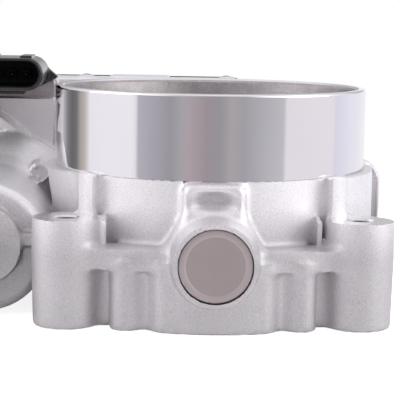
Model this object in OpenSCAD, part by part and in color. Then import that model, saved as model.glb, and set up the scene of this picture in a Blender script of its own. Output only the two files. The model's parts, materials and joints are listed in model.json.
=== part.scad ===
// Electronic throttle body with a 90 mm bore, standing on its manifold face.
// Units are mm. The origin is the centre of the bore on the manifold face.
// +Z runs up the bore to the inlet ring, and -Y is the side with the shaft's end cap.
// The throttle shaft lies along Y. The drive motor is on the -X side and its gears are on the +Y side.

/* [Bore and inlet ring] */
// Radius of the bore that the plate closes
bore_r = 45; // [40:0.5:50]
// Radius of the as-cast mouth at the top of the ring
mouth_r = 47.6; // [45:0.1:49]
// Outer radius of the turned inlet ring
ring_r = 50.8; // [48:0.1:55]
// Height of the ring's lower edge
ring_z0 = 44.5; // [40:0.5:50]
// Height of the ring's rim
ring_z1 = 70.5; // [60:0.5:80]
// Outer radius of the barrel between the front pillars
barrel_r = 50; // [48:0.5:52]
// Radius of the collar that the ring stands on
collar_r = 53.5; // [51:0.5:56]

/* [Manifold flange] */
// Spacing of the square bolt pattern
bolt_pitch = 88.9; // [80:0.1:100]
// Radius of the bolt holes
bolt_r = 3.5; // [3:0.1:5]
// Radius of each pillar at the mould's parting line
pillar_r = 10.5; // [8:0.1:13]
// Height of the pillars' machined tops
pillar_h = 32.7; // [20:0.1:40]
// Height of the parting line on the pillars
parting_z = 22; // [10:1:30]
// Underside of the horizontal rib between the front pillars
rib_z0 = 18; // [10:1:20]
// Top of that rib
rib_z1 = 24; // [20:1:30]

/* [Shaft and plate] */
// Height of the shaft's axis
axis_z = 21.5; // [15:0.5:30]
// Radius of the shaft
shaft_r = 5; // [4:0.25:6]
// Radius of the plate
plate_r = 44.8; // [40:0.1:50]
// Thickness of the plate
plate_t = 2.2; // [1.5:0.1:3]
// How far the plate rests open on its spring, in degrees
rest_open = 7; // [0:1:10]
// Radius of the end cap pressed into the front boss
cap_r = 11.1; // [8:0.1:13]
// Y of the front boss's face
boss_y = -66; // [-70:0.5:-60]

/* [Drive motor] */
// X of the motor's axis
motor_x = -70.5; // [-80:0.5:-60]
// Outer radius of the cast motor housing
motor_case_r = 19.3; // [17:0.1:22]
// Radius of the motor's steel can
motor_r = 17; // [14:0.5:18]
// Radius of the bell where the motor housing meets the gear case
bell_r = 30.3; // [25:0.5:35]

/* [Gear case] */
// Y of the gear case's floor behind the bore
floor_y = 57; // [55:0.5:60]
// Y of the case's open rim
rim_y = 79; // [70:0.5:85]
// Height of the case's top face
case_top = 70; // [60:0.5:75]
// Height of the case's bottom face
case_bottom = 0.6; // [0.2:0.1:5]
// X of the case's left face
case_left = -101.5; // [-110:0.5:-90]
// X of the case's right face above the shaft
case_right = 20; // [10:1:30]
// Wall thickness of the case
case_wall = 3; // [2:0.25:4]
// Radius of the case's corners
case_corner_r = 10; // [9:0.5:14]
// Number of teeth on the motor pinion and on both small gears
small_teeth = 14; // [12:1:16]
// Number of teeth on the first intermediate wheel
wheel_a_teeth = 44; // [40:1:50]
// Number of teeth on the second intermediate wheel
wheel_b_teeth = 36; // [30:1:40]
// Number of teeth on a full circle of the throttle gear
sector_teeth = 44; // [40:1:50]
// Direction from the shaft to the second intermediate gear, in degrees from +X
mesh_angle = 137; // [125:1:150]

/* [Connector] */
// X of the connector's middle
plug_x = -76; // [-85:0.5:-70]
// Height of the connector's middle
plug_z = 71.6; // [65:0.5:80]
// Width of the connector's shroud
plug_w = 40.6; // [30:1:50]
// Height of the connector's shroud
plug_h = 13.2; // [10:0.1:16]
// Y of the shroud's open end
plug_y = 19; // [10:0.5:30]

/* [Hidden] */
$fn = 64;
half_pitch = bolt_pitch / 2;
corners = [[-1, -1], [1, -1], [-1, 1], [1, 1]];
small_r = small_teeth / 2;
wheel_a_r = wheel_a_teeth / 2;
wheel_b_r = wheel_b_teeth / 2;
sector_r = sector_teeth / 2;
// Second intermediate gear: at mesh_angle from the shaft.
gear_b = [(sector_r + small_r) * cos(mesh_angle), axis_z + (sector_r + small_r) * sin(mesh_angle)];
// First intermediate gear: meets the motor pinion and the second gear's wheel.
motor_to_b = gear_b - [motor_x, axis_z];
span = norm(motor_to_b);
reach_a = small_r + wheel_a_r;
reach_b = small_r + wheel_b_r;
along = (span * span + reach_a * reach_a - reach_b * reach_b) / (2 * span);
aside = sqrt(reach_a * reach_a - along * along);
gear_a = [
    motor_x + (along * motor_to_b[0] - aside * motor_to_b[1]) / span,
    axis_z + (along * motor_to_b[1] + aside * motor_to_b[0]) / span
];
// Directions in which the meshing pairs look at each other.
dir_motor_a = atan2(gear_a[1] - axis_z, gear_a[0] - motor_x);
dir_a_b = atan2(gear_b[1] - gear_a[1], gear_b[0] - gear_a[0]);
dir_b_shaft = mesh_angle + 180;
// The three planes of gears, from the floor outwards.
sector_y0 = 64;
sector_y1 = 68.4;
wheel_b_y0 = 69;
wheel_b_y1 = 72.6;
wheel_a_y0 = 73.2;
wheel_a_y1 = 77;
gasket_t = 0.6;
cover_y = rim_y + gasket_t;
cover_t = 1.6;
cover_rise = 3;
head_r = 3.6;
cover_screws = [[-44.6, 65.4], [9, 65.4], [-95.5, 64], [-95.5, 9], [-36, 5.6], [22.5, 6.2]];
motor_screw_angles = [100, 215];
motor_screw_r = 22.6;
step_z = 62.7;
set_back_z = 45.5;
set_back_y = 58.5;
motor_floor_y = 50;
stop_pin = [17.5 * cos(-60), axis_z + 17.5 * sin(-60)];
pin_count = 6;
pin_pitch = 5;

// ---------------------------------------------------------------- helpers

// A rod along Y from y0 to y1, with its radius going from r0 to r1.
module y_rod(x, z, y0, y1, r0, r1 = -1) {
    translate([x, y0, z])
        rotate([-90, 0, 0])
            cylinder(h = y1 - y0, r1 = r0, r2 = r1 < 0 ? r0 : r1);
}

// A tube along Y.
module y_tube(x, z, y0, y1, outer, inner) {
    difference() {
        y_rod(x, z, y0, y1, outer);
        y_rod(x, z, y0 - 1, y1 + 1, inner);
    }
}

// A block given by its two far corners.
module block(low, high) {
    translate(low)
        cube(high - low);
}

// A flat shape drawn in X and Z, thickened from y0 to y1.
module xz_slab(y0, y1) {
    translate([0, y1, 0])
        rotate([90, 0, 0])
            linear_extrude(height = y1 - y0)
                children();
}

// A slab in X and Z with four rounded corners.
module round_slab(x0, x1, z0, z1, y0, y1, r) {
    block([x0 + r, y0, z0], [x1 - r, y1, z1]);
    block([x0, y0, z0 + r], [x1, y1, z1 - r]);
    for (x = [x0 + r, x1 - r])
        for (z = [z0 + r, z1 - r])
            y_rod(x, z, y0, y1, r);
}

function involute(angle) = tan(angle) * 180 / PI - angle;

// Half the angle that a tooth covers at radius r, with a little backlash.
function half_tooth(r, pitch_r, base_r) =
    90 / pitch_r / 2 * 0.94 + involute(20) - involute(r > base_r ? acos(base_r / r) : 0);

// Spur gear teeth of module 1 around pitch_r, with one tooth pointing at phase.
module gear_shape(teeth, phase, tip, root) {
    pitch_r = teeth / 2;
    base_r = pitch_r * cos(20);
    radii = [
        pitch_r - root,
        max(base_r, pitch_r - 0.6),
        pitch_r,
        pitch_r + tip * 0.55,
        pitch_r + tip
    ];
    polygon([
        for (i = [0:teeth - 1])
            for (k = [-5:4])
                let (r = radii[k < 0 ? k + 5 : 4 - k])
                let (half = half_tooth(r, pitch_r, base_r))
                let (a = phase + i * 360 / teeth + (k < 0 ? -half : half))
                r * [cos(a), sin(a)]
    ]);
}

module small_gear(centre, phase, y0, y1, bore) {
    translate([centre[0], 0, centre[1]])
        difference() {
            xz_slab(y0, y1)
                gear_shape(small_teeth, phase, 0.95, 1.0);
            y_rod(0, 0, y0 - 1, y1 + 1, bore);
        }
}

// A wire wound round Y, from y0 up by pitch each turn.
module coil(y0, pitch, turns, coil_r, wire_r) {
    steps = 28;
    sides = 8;
    count = round(steps * turns);
    points = [
        for (i = [0:count])
            let (a = i * 360 / steps)
            for (j = [0:sides - 1])
                let (b = j * 360 / sides)
                [
                    (coil_r + wire_r * cos(b)) * cos(a),
                    y0 + pitch * i / steps + wire_r * sin(b),
                    (coil_r + wire_r * cos(b)) * sin(a)
                ]
    ];
    walls = [
        for (i = [0:count - 1])
            for (j = [0:sides - 1])
                let (k = (j + 1) % sides)
                [i * sides + j, (i + 1) * sides + j, (i + 1) * sides + k, i * sides + k]
    ];
    start = [[for (j = [0:sides - 1]) j]];
    end = [[for (j = [0:sides - 1]) count * sides + sides - 1 - j]];
    polyhedron(points = points, faces = concat(walls, start, end));
}

// ---------------------------------------------------------------- housing

// One bolt pillar, drafted both ways from the parting line.
module pillar() {
    cylinder(h = parting_z, r1 = pillar_r - 0.5, r2 = pillar_r);
    translate([0, 0, parting_z])
        cylinder(h = pillar_h - parting_z, r1 = pillar_r, r2 = pillar_r - 0.2);
}

module barrel_outside() {
    cylinder(h = ring_z0, r = barrel_r);
    difference() {
        translate([0, 0, 28])
            cylinder(h = ring_z0 - 28, r1 = barrel_r + 0.5, r2 = collar_r);
        block([-37.2, -60, 27], [36.6, 0, ring_z0 + 1]);
    }
    difference() {
        translate([0, 0, 28])
            cylinder(h = ring_z0 - 28, r = collar_r + 0.2);
        block([-60, -60, 27], [0, 60, ring_z0 + 1]);
        block([-1, -60, 27], [36.6, 0, ring_z0 + 1]);
    }
    // Half-round edges where the front of the barrel meets the thicker side walls.
    for (p = [[-38.4, -36.9], [37.7, -37.3]]) {
        translate([p[0], p[1], 26])
            cylinder(h = ring_z0 - 26, r = 2.75);
        block([p[0] - 2.75, p[1], 26], [p[0] + 2.75, p[1] + 8, ring_z0]);
    }
    translate([0, 0, ring_z0])
        cylinder(h = ring_z1 - ring_z0 - 0.8, r = ring_r);
    translate([0, 0, ring_z1 - 0.8])
        cylinder(h = 0.8, r1 = ring_r, r2 = ring_r - 0.8);
}

module flange_outside() {
    for (c = corners)
        translate([c[0] * half_pitch, c[1] * half_pitch, 0])
            pillar();
    // Thick lower webs and thin upper webs that tie the pillars to the barrel.
    for (a = [45:90:315])
        rotate([0, 0, a])
            block([44, -5, 0], [60, 5, rib_z0]);
    for (a = [45, 135])
        rotate([0, 0, a])
            block([44, -2, rib_z0], [60, 2, pillar_h - 1]);
    for (x = [-34.6, 31.4])
        block([x, -49.5, rib_z0], [x + 1.9, -36, pillar_h - 1.5]);
    // Front rib and the skirt below it.
    translate([0, 0, rib_z0])
        linear_extrude(height = rib_z1 - rib_z0)
            polygon([
                [-40, -45], [-39, -52.3], [-34, -52.4], [-25, -54.8], [-15, -56.6],
                [15, -56.6], [25, -54.8], [34, -52.4], [39, -52.3], [40, -45]
            ]);
    intersection() {
        cylinder(h = rib_z0, r = 60);
        block([-17.2, -61, 0], [17.2, -44, rib_z0]);
    }
    block([-26, -53.7, 0], [26, -44, rib_z0]);
    block([-39, -48.3, 0], [39, -40, rib_z0]);
    for (x = [-26.4, 26.4])
        translate([x, -50.7, 0])
            cylinder(h = rib_z0, r = 4.6);
    // Side and rear skirts of the mounting face.
    block([-52.4, -38, 0], [52.4, 38, 12]);
    block([-38, -40, 0], [38, 54, 12]);
}

module front_boss_outside() {
    y_rod(0, axis_z, -55, -44, 14);
    y_rod(0, axis_z, boss_y + 0.8, -55, 13.3, 14);
    y_rod(0, axis_z, boss_y, boss_y + 0.8, 12.6, 13.3);
    // Tower pad that runs from the boss up to the ring.
    block([-10, -56.4, axis_z], [9.5, -44, ring_z0 - 3.5]);
    block([-7, -56.4, axis_z], [6.5, -44, ring_z0 - 0.5]);
    for (x = [-7, 6.5])
        y_rod(x, ring_z0 - 3.5, -56.4, -44, 3);
}

module motor_case_outside() {
    y_rod(motor_x, axis_z, -37, motor_floor_y - 1, motor_case_r);
    y_rod(motor_x, axis_z, -38, -37, motor_case_r - 1, motor_case_r);
    y_rod(motor_x, axis_z + 1.5, -41, -37, 12);
    intersection() {
        union() {
            y_rod(motor_x, axis_z, 4, 18, motor_case_r, motor_case_r + 3.2);
            y_rod(motor_x, axis_z, 18, 32, motor_case_r + 3.2, bell_r);
            y_rod(motor_x, axis_z, 32, floor_y - 2, bell_r);
        }
        block([case_left, 0, case_bottom], [-30, 60, 80]);
    }
    // Web from the motor's end boss to the left pillar, running back along the barrel.
    block([-60, -40, 22.7], [-46, 34, 26.7]);
    // Gate boss and the slanted rib to the case's corner.
    y_rod(-57, 40, 9, 34, 3.5);
    xz_slab(36, motor_floor_y - 1)
        polygon([[-63.7, 49.8], [-65.2, 47.9], [-79.3, 59.2], [-77.8, 61]]);
    block([-58.5, 14, 24], [-52.6, 40, 38]);
}

// Outline of the gear case between y0 and y1, moved in by inset.
module case_outline(y0, y1, inset) {
    round_slab(case_left + inset, case_right - inset, case_bottom + inset, case_top - inset, y0, y1,
        case_corner_r - inset);
    intersection() {
        y_rod(0, axis_z, y0, y1, 27.3 - inset);
        block([-40, y0 - 1, case_bottom + inset], [40, y1 + 1, 60]);
    }
}

module gear_case_outside() {
    difference() {
        case_outline(floor_y - 4, rim_y, 0);
        // The upper wall stands back, so that a duct and its clamp fit on the ring.
        block([-54, 40, set_back_z], [40, set_back_y, 90]);
    }
    // Deeper part over the motor, with its step below the connector.
    intersection() {
        case_outline(motor_floor_y - 4, floor_y, 0);
        block([case_left - 1, 40, 0], [-54, 60, step_z]);
    }
    intersection() {
        case_outline(motor_floor_y - 1, floor_y, 0);
        block([case_left - 1, 40, 0], [-54, 60, 90]);
    }
    // Raised pad on the case's top.
    block([-35, 60, case_top - 2], [-13, rim_y, case_top + 1]);
    // Right wing with its rounded top corner.
    block([20, 46, case_bottom], [57, 55, 42]);
    block([50, 46, case_bottom], [64.5, 55, 34]);
    y_rod(56.5, 34, 46, 55, 8);
    // Rear bearing boss and the block that ties the case to the barrel.
    y_rod(0, axis_z, 44, floor_y, 15);
    block([-34, 34, 2], [34, floor_y - 2, 34]);
    block([-30, 38, 30], [-26, floor_y - 2, ring_z0 - 1]);
    block([6, 44, 30], [10, floor_y - 2, ring_z0 - 1]);
}

module case_bosses() {
    for (p = cover_screws)
        y_rod(p[0], p[1], set_back_y + 1, rim_y, 4.4);
    y_rod(gear_a[0], gear_a[1], floor_y - 3, 68.5, 5.5);
    y_rod(gear_b[0], gear_b[1], floor_y - 3, 62.6, 5);
    for (a = motor_screw_angles)
        y_rod(motor_x + motor_screw_r * cos(a), axis_z + motor_screw_r * sin(a), motor_floor_y - 4,
            motor_floor_y, 4);
}

module housing() {
    color("silver")
    difference() {
        union() {
            difference() {
                union() {
                    barrel_outside();
                    flange_outside();
                    front_boss_outside();
                    motor_case_outside();
                    gear_case_outside();
                }
                // Inside of the gear case.
                intersection() {
                    case_outline(floor_y, rim_y + 1, case_wall);
                    union() {
                        block([case_left, 40, 0], [40, 90, set_back_z - case_wall]);
                        block([case_left, 40, 0], [-57, 90, 90]);
                    }
                }
                case_outline(set_back_y + case_wall, rim_y + 1, case_wall);
                intersection() {
                    case_outline(motor_floor_y, floor_y + 1, case_wall);
                    block([case_left - 1, 40, 0], [-57, 60, 61]);
                }
            }
            case_bosses();
        }
        // Bore and as-cast mouth.
        translate([0, 0, -1])
            cylinder(h = 47, r = bore_r, $fn = 96);
        translate([0, 0, 45.9])
            cylinder(h = 24.1, r1 = bore_r, r2 = mouth_r - 0.2, $fn = 96);
        translate([0, 0, 69.9])
            cylinder(h = 0.7, r1 = mouth_r - 0.2, r2 = mouth_r + 0.9, $fn = 96);
        // Bolt holes with chamfered tops, and room for the rear bolt heads.
        for (c = corners)
            translate([c[0] * half_pitch, c[1] * half_pitch, 0]) {
                translate([0, 0, -1])
                    cylinder(h = pillar_h + 2, r = bolt_r);
                translate([0, 0, pillar_h - 0.5])
                    cylinder(h = 0.6, r1 = bolt_r, r2 = bolt_r + 0.6);
                translate([0, 0, pillar_h])
                    cylinder(h = 60, r = 9);
            }
        // Shaft bore with pockets for seals, bearings and end cap.
        y_rod(0, axis_z, -70, 70, shaft_r + 0.3);
        y_rod(0, axis_z, -59.9, -46.5, 7);
        y_rod(0, axis_z, boss_y - 1, -59.8, cap_r);
        y_rod(0, axis_z, 46.5, 49.3, 8);
        y_rod(0, axis_z, 49.2, 62, 11);
        // Recess in the tower pad.
        block([-5.5, -60, 37.4], [5, -55.4, 42]);
        // Motor bore and its end pocket.
        y_rod(motor_x, axis_z, -34.5, 60, motor_r + 0.3);
        y_rod(motor_x, axis_z, motor_floor_y, 60, 19);
        y_rod(motor_x, axis_z, -38, -34, 6);
        // Groove beside the right wing's edge.
        block([61.5, 45, 5], [63.3, 48.5, 36]);
        // Window for the connector's neck.
        block([plug_x - 10.2, 40, 64.2], [plug_x + 10.2, 60, 66.9]);
        // Threads and pin holes.
        for (p = cover_screws)
            y_rod(p[0], p[1], rim_y - 12, rim_y + 2, 2);
        for (a = motor_screw_angles)
            y_rod(motor_x + motor_screw_r * cos(a), axis_z + motor_screw_r * sin(a),
                motor_floor_y - 3, motor_floor_y + 1, 1.5);
        y_rod(gear_a[0], gear_a[1], floor_y - 2, 70, 2.5);
        y_rod(gear_b[0], gear_b[1], floor_y - 2, 70, 2.5);
        y_rod(stop_pin[0], stop_pin[1], floor_y - 2, 70, 1.5);
    }
}

// ---------------------------------------------------------------- shaft group

module front_end_cap() {
    color("rosybrown")
    difference() {
        union() {
            y_rod(0, axis_z, boss_y + 0.6, -60, cap_r - 0.4, cap_r);
            y_tube(0, axis_z, boss_y + 0.2, -62, cap_r, cap_r - 1);
        }
        y_rod(0, axis_z, -62, -59, cap_r - 1.6);
    }
}

module needle_bearing_shell() {
    color("lightsteelblue")
    difference() {
        y_rod(0, axis_z, -58.6, -49.4, 7);
        y_rod(0, axis_z, -59, -49, 5.9);
        y_rod(0, axis_z, -58, -50, 6.5);
    }
}

module needle_rollers() {
    color("gainsboro")
    for (a = [0:22.5:337.5])
        y_rod(5.75 * cos(a), axis_z + 5.75 * sin(a), -57.8, -50.2, 0.7);
}

module shaft_seals() {
    color("dimgray") {
        y_tube(0, axis_z, -49.2, -46.6, 7, shaft_r + 0.04);
        y_tube(0, axis_z, 46.6, 49, 8, shaft_r + 0.04);
    }
}

module ball_groove() {
    translate([0, 52.3, axis_z])
        rotate([-90, 0, 0])
            rotate_extrude()
                translate([8, 0])
                    circle(r = 1.66);
}

module rear_bearing_outer() {
    color("lightgray")
    difference() {
        y_tube(0, axis_z, 49.3, 55.3, 11, 9);
        ball_groove();
    }
}

module rear_bearing_inner() {
    color("gainsboro")
    difference() {
        y_tube(0, axis_z, 49.3, 55.3, 7, shaft_r);
        ball_groove();
    }
}

module rear_bearing_balls() {
    color("white")
    for (a = [0:40:320])
        translate([8 * cos(a), 52.3, axis_z + 8 * sin(a)])
            sphere(r = 1.6);
}

// Moves its children to the shaft's axis, turned to where the plate rests.
module on_shaft() {
    translate([0, 0, axis_z])
        rotate([0, -rest_open, 0])
            children();
}

module throttle_shaft() {
    color("silver")
    on_shaft()
        difference() {
            union() {
                y_rod(0, 0, -57.7, 73.6, shaft_r);
                y_rod(0, 0, -58.3, -57.7, shaft_r - 0.6, shaft_r);
            }
            block([-10, -plate_r, -plate_t / 2], [10, plate_r, plate_t / 2]);
            for (y = [-18, 18])
                translate([0, y, -10])
                    cylinder(h = 20, r = 2);
            for (y = [-18, 18])
                block([-6, y - 5.5, 3.9], [6, y + 5.5, 8]);
            // Flats that carry the throttle gear.
            block([3.9, 64, -6], [6, 74, 6]);
            block([-6, 64, -6], [-3.9, 74, 6]);
        }
}

module throttle_plate() {
    color("goldenrod")
    on_shaft()
        difference() {
            translate([0, 0, -plate_t / 2])
                cylinder(h = plate_t, r = plate_r, $fn = 96);
            for (y = [-18, 18])
                translate([0, y, -5])
                    cylinder(h = 10, r = 2);
        }
}

module plate_screws() {
    color("dimgray")
    on_shaft()
        for (y = [-18, 18])
            translate([0, y, 0])
                difference() {
                    union() {
                        translate([0, 0, -5.6])
                            cylinder(h = 9.6, r = 2);
                        translate([0, 0, 3.9])
                            cylinder(h = 1.8, r = 3.9);
                        translate([0, 0, 5.7])
                            cylinder(h = 0.6, r1 = 3.9, r2 = 3);
                    }
                    for (a = [0, 60, 120])
                        rotate([0, 0, a])
                            translate([-1.7, -0.5, 4.9])
                                cube([3.4, 1, 3]);
                }
}

module throttle_gear() {
    color("ivory")
    translate([0, 0, axis_z])
        difference() {
            union() {
                intersection() {
                    xz_slab(sector_y0, sector_y1)
                        gear_shape(sector_teeth, mesh_angle + 180 / sector_teeth, 0.75, 1.25);
                    xz_slab(sector_y0 - 1, sector_y1 + 1)
                        polygon([
                            [0, 0],
                            40 * [cos(mesh_angle - 88), sin(mesh_angle - 88)],
                            50 * [cos(mesh_angle - 36), sin(mesh_angle - 36)],
                            40 * [cos(mesh_angle + 15), sin(mesh_angle + 15)]
                        ]);
                }
                y_rod(0, 0, sector_y0 - 0.6, 75.6, 8);
                y_rod(0, 0, sector_y0, sector_y1, 12);
                // Lug that meets the stop pin when the plate is closed.
                xz_slab(sector_y0, sector_y1)
                    polygon([
                        [0, 0],
                        19.8 * [cos(-46), sin(-46)],
                        20 * [cos(-37), sin(-37)],
                        19.8 * [cos(-28), sin(-28)]
                    ]);
            }
            y_rod(0, 0, 50, 73.6, shaft_r);
            y_tube(0, 0, 73.9, 80, 7, 4);
            // Lightening pocket in the web.
            intersection() {
                y_tube(0, 0, sector_y1 - 1.6, sector_y1 + 1, 18.6, 13.6);
                xz_slab(60, 75)
                    polygon([
                        [0, 0],
                        40 * [cos(mesh_angle - 82), sin(mesh_angle - 82)],
                        50 * [cos(mesh_angle - 36), sin(mesh_angle - 36)],
                        40 * [cos(mesh_angle + 9), sin(mesh_angle + 9)]
                    ]);
            }
        }
}

module sensor_magnet() {
    color("black")
    y_tube(0, axis_z, 73.9, 76, 7, 4);
}

module return_spring() {
    color("slategray")
    translate([0, 0, axis_z])
        coil(58, 2.3, 2, 14.6, 0.85);
}

module spring_bush() {
    color("wheat")
    y_tube(0, axis_z, floor_y, 63.3, 13.2, 11.2);
}

module closed_stop_pin() {
    color("gray")
    y_rod(stop_pin[0], stop_pin[1], floor_y - 1.9, sector_y1 - 0.2, 1.5);
}

// ---------------------------------------------------------------- gear train

// A wheel with a thinner web and a small gear on one side.
module double_gear(centre, teeth, phase, small_phase, wheel_y0, wheel_y1, small_y0) {
    translate([centre[0], 0, centre[1]])
        difference() {
            union() {
                xz_slab(wheel_y0, wheel_y1)
                    gear_shape(teeth, phase, 0.75, 1.25);
                xz_slab(small_y0, wheel_y0 + 0.5)
                    gear_shape(small_teeth, small_phase, 0.95, 1.0);
            }
            y_rod(0, 0, small_y0 - 2, wheel_y1 + 2, 2.58);
            y_tube(0, 0, wheel_y1 - 1.1, wheel_y1 + 1, teeth / 2 - 3.4, 5.4);
        }
}

module intermediate_gear_a() {
    color("ivory")
    double_gear(gear_a, wheel_a_teeth, dir_motor_a + 180 + 180 / wheel_a_teeth, dir_a_b,
        wheel_a_y0, wheel_a_y1, 68.9);
}

module intermediate_gear_b() {
    color("wheat")
    double_gear(gear_b, wheel_b_teeth, dir_a_b + 180 + 180 / wheel_b_teeth, dir_b_shaft,
        wheel_b_y0, wheel_b_y1, 63.6);
}

module gear_pins() {
    color("silver") {
        y_rod(gear_a[0], gear_a[1], floor_y - 1.9, 78.6, 2.5);
        y_rod(gear_b[0], gear_b[1], floor_y - 1.9, 72.9, 2.5);
    }
}

// ---------------------------------------------------------------- motor

module motor_can() {
    color("gainsboro")
    difference() {
        union() {
            y_rod(motor_x, axis_z, -33.2, 50, motor_r);
            y_rod(motor_x, axis_z, -36.6, -33.2, 5.6);
        }
        y_rod(motor_x, axis_z, -32.2, 51, motor_r - 1);
        y_rod(motor_x, axis_z, -35.8, -30, 4);
    }
}

module motor_magnets() {
    color("dimgray")
    difference() {
        y_tube(motor_x, axis_z, -22, 26, motor_r - 1, 12.4);
        block([motor_x - 3, -23, 0], [motor_x + 3, 27, 60]);
    }
}

module motor_armature() {
    color("slategray")
    difference() {
        y_rod(motor_x, axis_z, -16, 20, 11.7);
        for (a = [0:60:300])
            translate([motor_x, 0, axis_z])
                rotate([0, a, 0])
                    block([-0.8, -17, 9.6], [0.8, 21, 13]);
        for (a = [0:60:300])
            translate([motor_x, 0, axis_z])
                rotate([0, a, 0])
                    translate([0, -17, 7.4])
                        rotate([-90, 0, 0])
                            cylinder(h = 38, r = 2.5);
        y_rod(motor_x, axis_z, -17, 21, 1.6);
    }
}

module motor_winding() {
    color("peru") {
        y_tube(motor_x, axis_z, -20, -16, 10.5, 4);
        y_tube(motor_x, axis_z, 20, 24, 10.5, 4);
        for (a = [0:60:300])
            translate([motor_x, 0, axis_z])
                rotate([0, a, 0])
                    translate([0, -16, 7.4])
                        rotate([-90, 0, 0])
                            cylinder(h = 36, r = 2.3);
        // Commutator.
        y_tube(motor_x, axis_z, 24, 36, 5, 1.6);
    }
}

module motor_shaft() {
    color("silver")
    y_rod(motor_x, axis_z, -35.2, 77.4, 1.6);
}

module motor_pinion() {
    color("goldenrod")
    union() {
        small_gear([motor_x, axis_z], dir_motor_a, wheel_a_y0 - 0.4, wheel_a_y1 + 0.2, 1.6);
        y_tube(motor_x, axis_z, 70.6, wheel_a_y0 - 0.4, 4.4, 1.6);
    }
}

module motor_bushings() {
    color("darkgoldenrod") {
        y_tube(motor_x, axis_z, -35.7, -31, 4, 1.65);
        y_tube(motor_x, axis_z, 46, 53, 4, 1.65);
    }
}

module motor_end_plate() {
    color("dimgray")
    difference() {
        union() {
            y_rod(motor_x, axis_z, 45, 50, motor_r - 1);
            y_rod(motor_x, axis_z, motor_floor_y, 51.6, 18.6);
            y_rod(motor_x, axis_z, 51.6, 54, 6);
            for (a = motor_screw_angles)
                translate([motor_x, 0, axis_z])
                    rotate([0, -a, 0])
                        block([12, motor_floor_y, -4], [motor_screw_r, 51.6, 4]);
            for (a = motor_screw_angles)
                y_rod(motor_x + motor_screw_r * cos(a), axis_z + motor_screw_r * sin(a),
                    motor_floor_y, 51.6, 4);
        }
        y_rod(motor_x, axis_z, 40, 60, 4);
        for (a = motor_screw_angles)
            y_rod(motor_x + motor_screw_r * cos(a), axis_z + motor_screw_r * sin(a), 45, 60, 1.7);
    }
}

module motor_brushes() {
    color("black")
    for (x = [-1, 1])
        block([motor_x + x * 8.6 - 3.3, 27, axis_z - 2], [motor_x + x * 8.6 + 3.3, 33, axis_z + 2]);
}

module motor_terminals() {
    color("goldenrod")
    for (x = [-82, -66.5]) {
        block([x - 2, 51.8, axis_z + 13], [x + 2, 52.6, 60]);
        block([x - 2, 51.8, 59.4], [x + 2, 58, 60.2]);
        block([x - 2, 57.2, 59.4], [x + 2, 58, 66]);
    }
}

module motor_screws() {
    color("silver")
    for (a = motor_screw_angles)
        translate([motor_x + motor_screw_r * cos(a), 0, axis_z + motor_screw_r * sin(a)])
            difference() {
                union() {
                    y_rod(0, 0, motor_floor_y - 2.8, 51.6, 1.5);
                    y_rod(0, 0, 51.6, 53.6, 2.9);
                }
                block([-0.4, 52.9, -2], [0.4, 54, 2]);
                block([-2, 52.9, -0.4], [2, 54, 0.4]);
            }
}

module motor_wave_spring() {
    color("silver")
    y_tube(motor_x, axis_z, -34.4, -33.3, 14, 8);
}

// ---------------------------------------------------------------- cover

module cover_shape(y0, y1, inset) {
    case_outline(y0, y1, inset);
    for (p = cover_screws)
        y_rod(p[0], p[1], y0, y1, 4.6);
}

module cover_holes(y0, y1, r) {
    for (p = cover_screws)
        y_rod(p[0], p[1], y0, y1, r);
}

module gear_cover() {
    color("lightgray")
    difference() {
        union() {
            cover_shape(cover_y, cover_y + cover_t, 0);
            difference() {
                case_outline(cover_y + 0.5, cover_y + cover_t + cover_rise, 6.5);
                for (p = cover_screws)
                    y_rod(p[0], p[1], cover_y + cover_t, cover_y + 9, 6.2);
            }
            // Round boss over the position sensor.
            y_rod(0, axis_z, cover_y, cover_y + cover_t + cover_rise + 1.2, 14);
        }
        difference() {
            case_outline(cover_y - 1, cover_y + cover_rise, 8);
            for (p = cover_screws)
                y_rod(p[0], p[1], cover_y - 2, cover_y + 9, 7.8);
        }
        y_rod(0, axis_z, cover_y - 1, cover_y + cover_rise + 1, 12.4);
        cover_holes(cover_y - 1, cover_y + 5, 2.2);
    }
}

module cover_gasket() {
    color("black")
    difference() {
        cover_shape(rim_y, cover_y, 0.3);
        difference() {
            case_outline(rim_y - 1, cover_y + 1, 2.6);
            for (p = cover_screws)
                y_rod(p[0], p[1], rim_y - 2, cover_y + 2, 4.4);
        }
        cover_holes(rim_y - 1, cover_y + 1, 2.2);
    }
}

module cover_screws() {
    color("dimgray")
    for (p = cover_screws)
        translate([p[0], 0, p[1]])
            difference() {
                union() {
                    y_rod(0, 0, rim_y - 11, cover_y + cover_t, 2);
                    y_rod(0, 0, cover_y + cover_t, cover_y + cover_t + 2, head_r);
                    y_rod(0, 0, cover_y + cover_t + 2, cover_y + cover_t + 2.7, head_r, head_r - 1);
                }
                for (a = [0, 60, 120])
                    rotate([0, a, 0])
                        block([-1.7, cover_y + cover_t + 1.4, -0.5], [1.7, cover_y + 6, 0.5]);
            }
}

module sensor_board() {
    color("darkgreen") {
        round_slab(-14, 13, 8, 36, 77.4, 78.6, 1.5);
        block([-3, 76.6, axis_z - 2.5], [3, 77.4, axis_z + 2.5]);
        block([-11, 78.6, 28], [-6, 79.8, 32]);
        block([4, 78.6, 10], [9, 79.8, 13]);
        // Posts that stand on the inside of the cover.
        for (p = [[-11, 11], [10.5, 33.5]])
            y_rod(p[0], p[1], 78.6, cover_y + cover_rise, 1.5);
    }
}

module sensor_leads() {
    color("goldenrod") {
        block([-70.6, 57.2, 65.2], [-69.8, 78.2, 66.2]);
        block([-70.6, 77.6, 59.2], [-69.8, 78.2, 66.2]);
        block([-70.6, 77.6, 59.2], [-8, 78.2, 60.4]);
        block([-9.2, 77.6, 36], [-8, 78.2, 60.4]);
    }
}

// ---------------------------------------------------------------- connector

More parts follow.
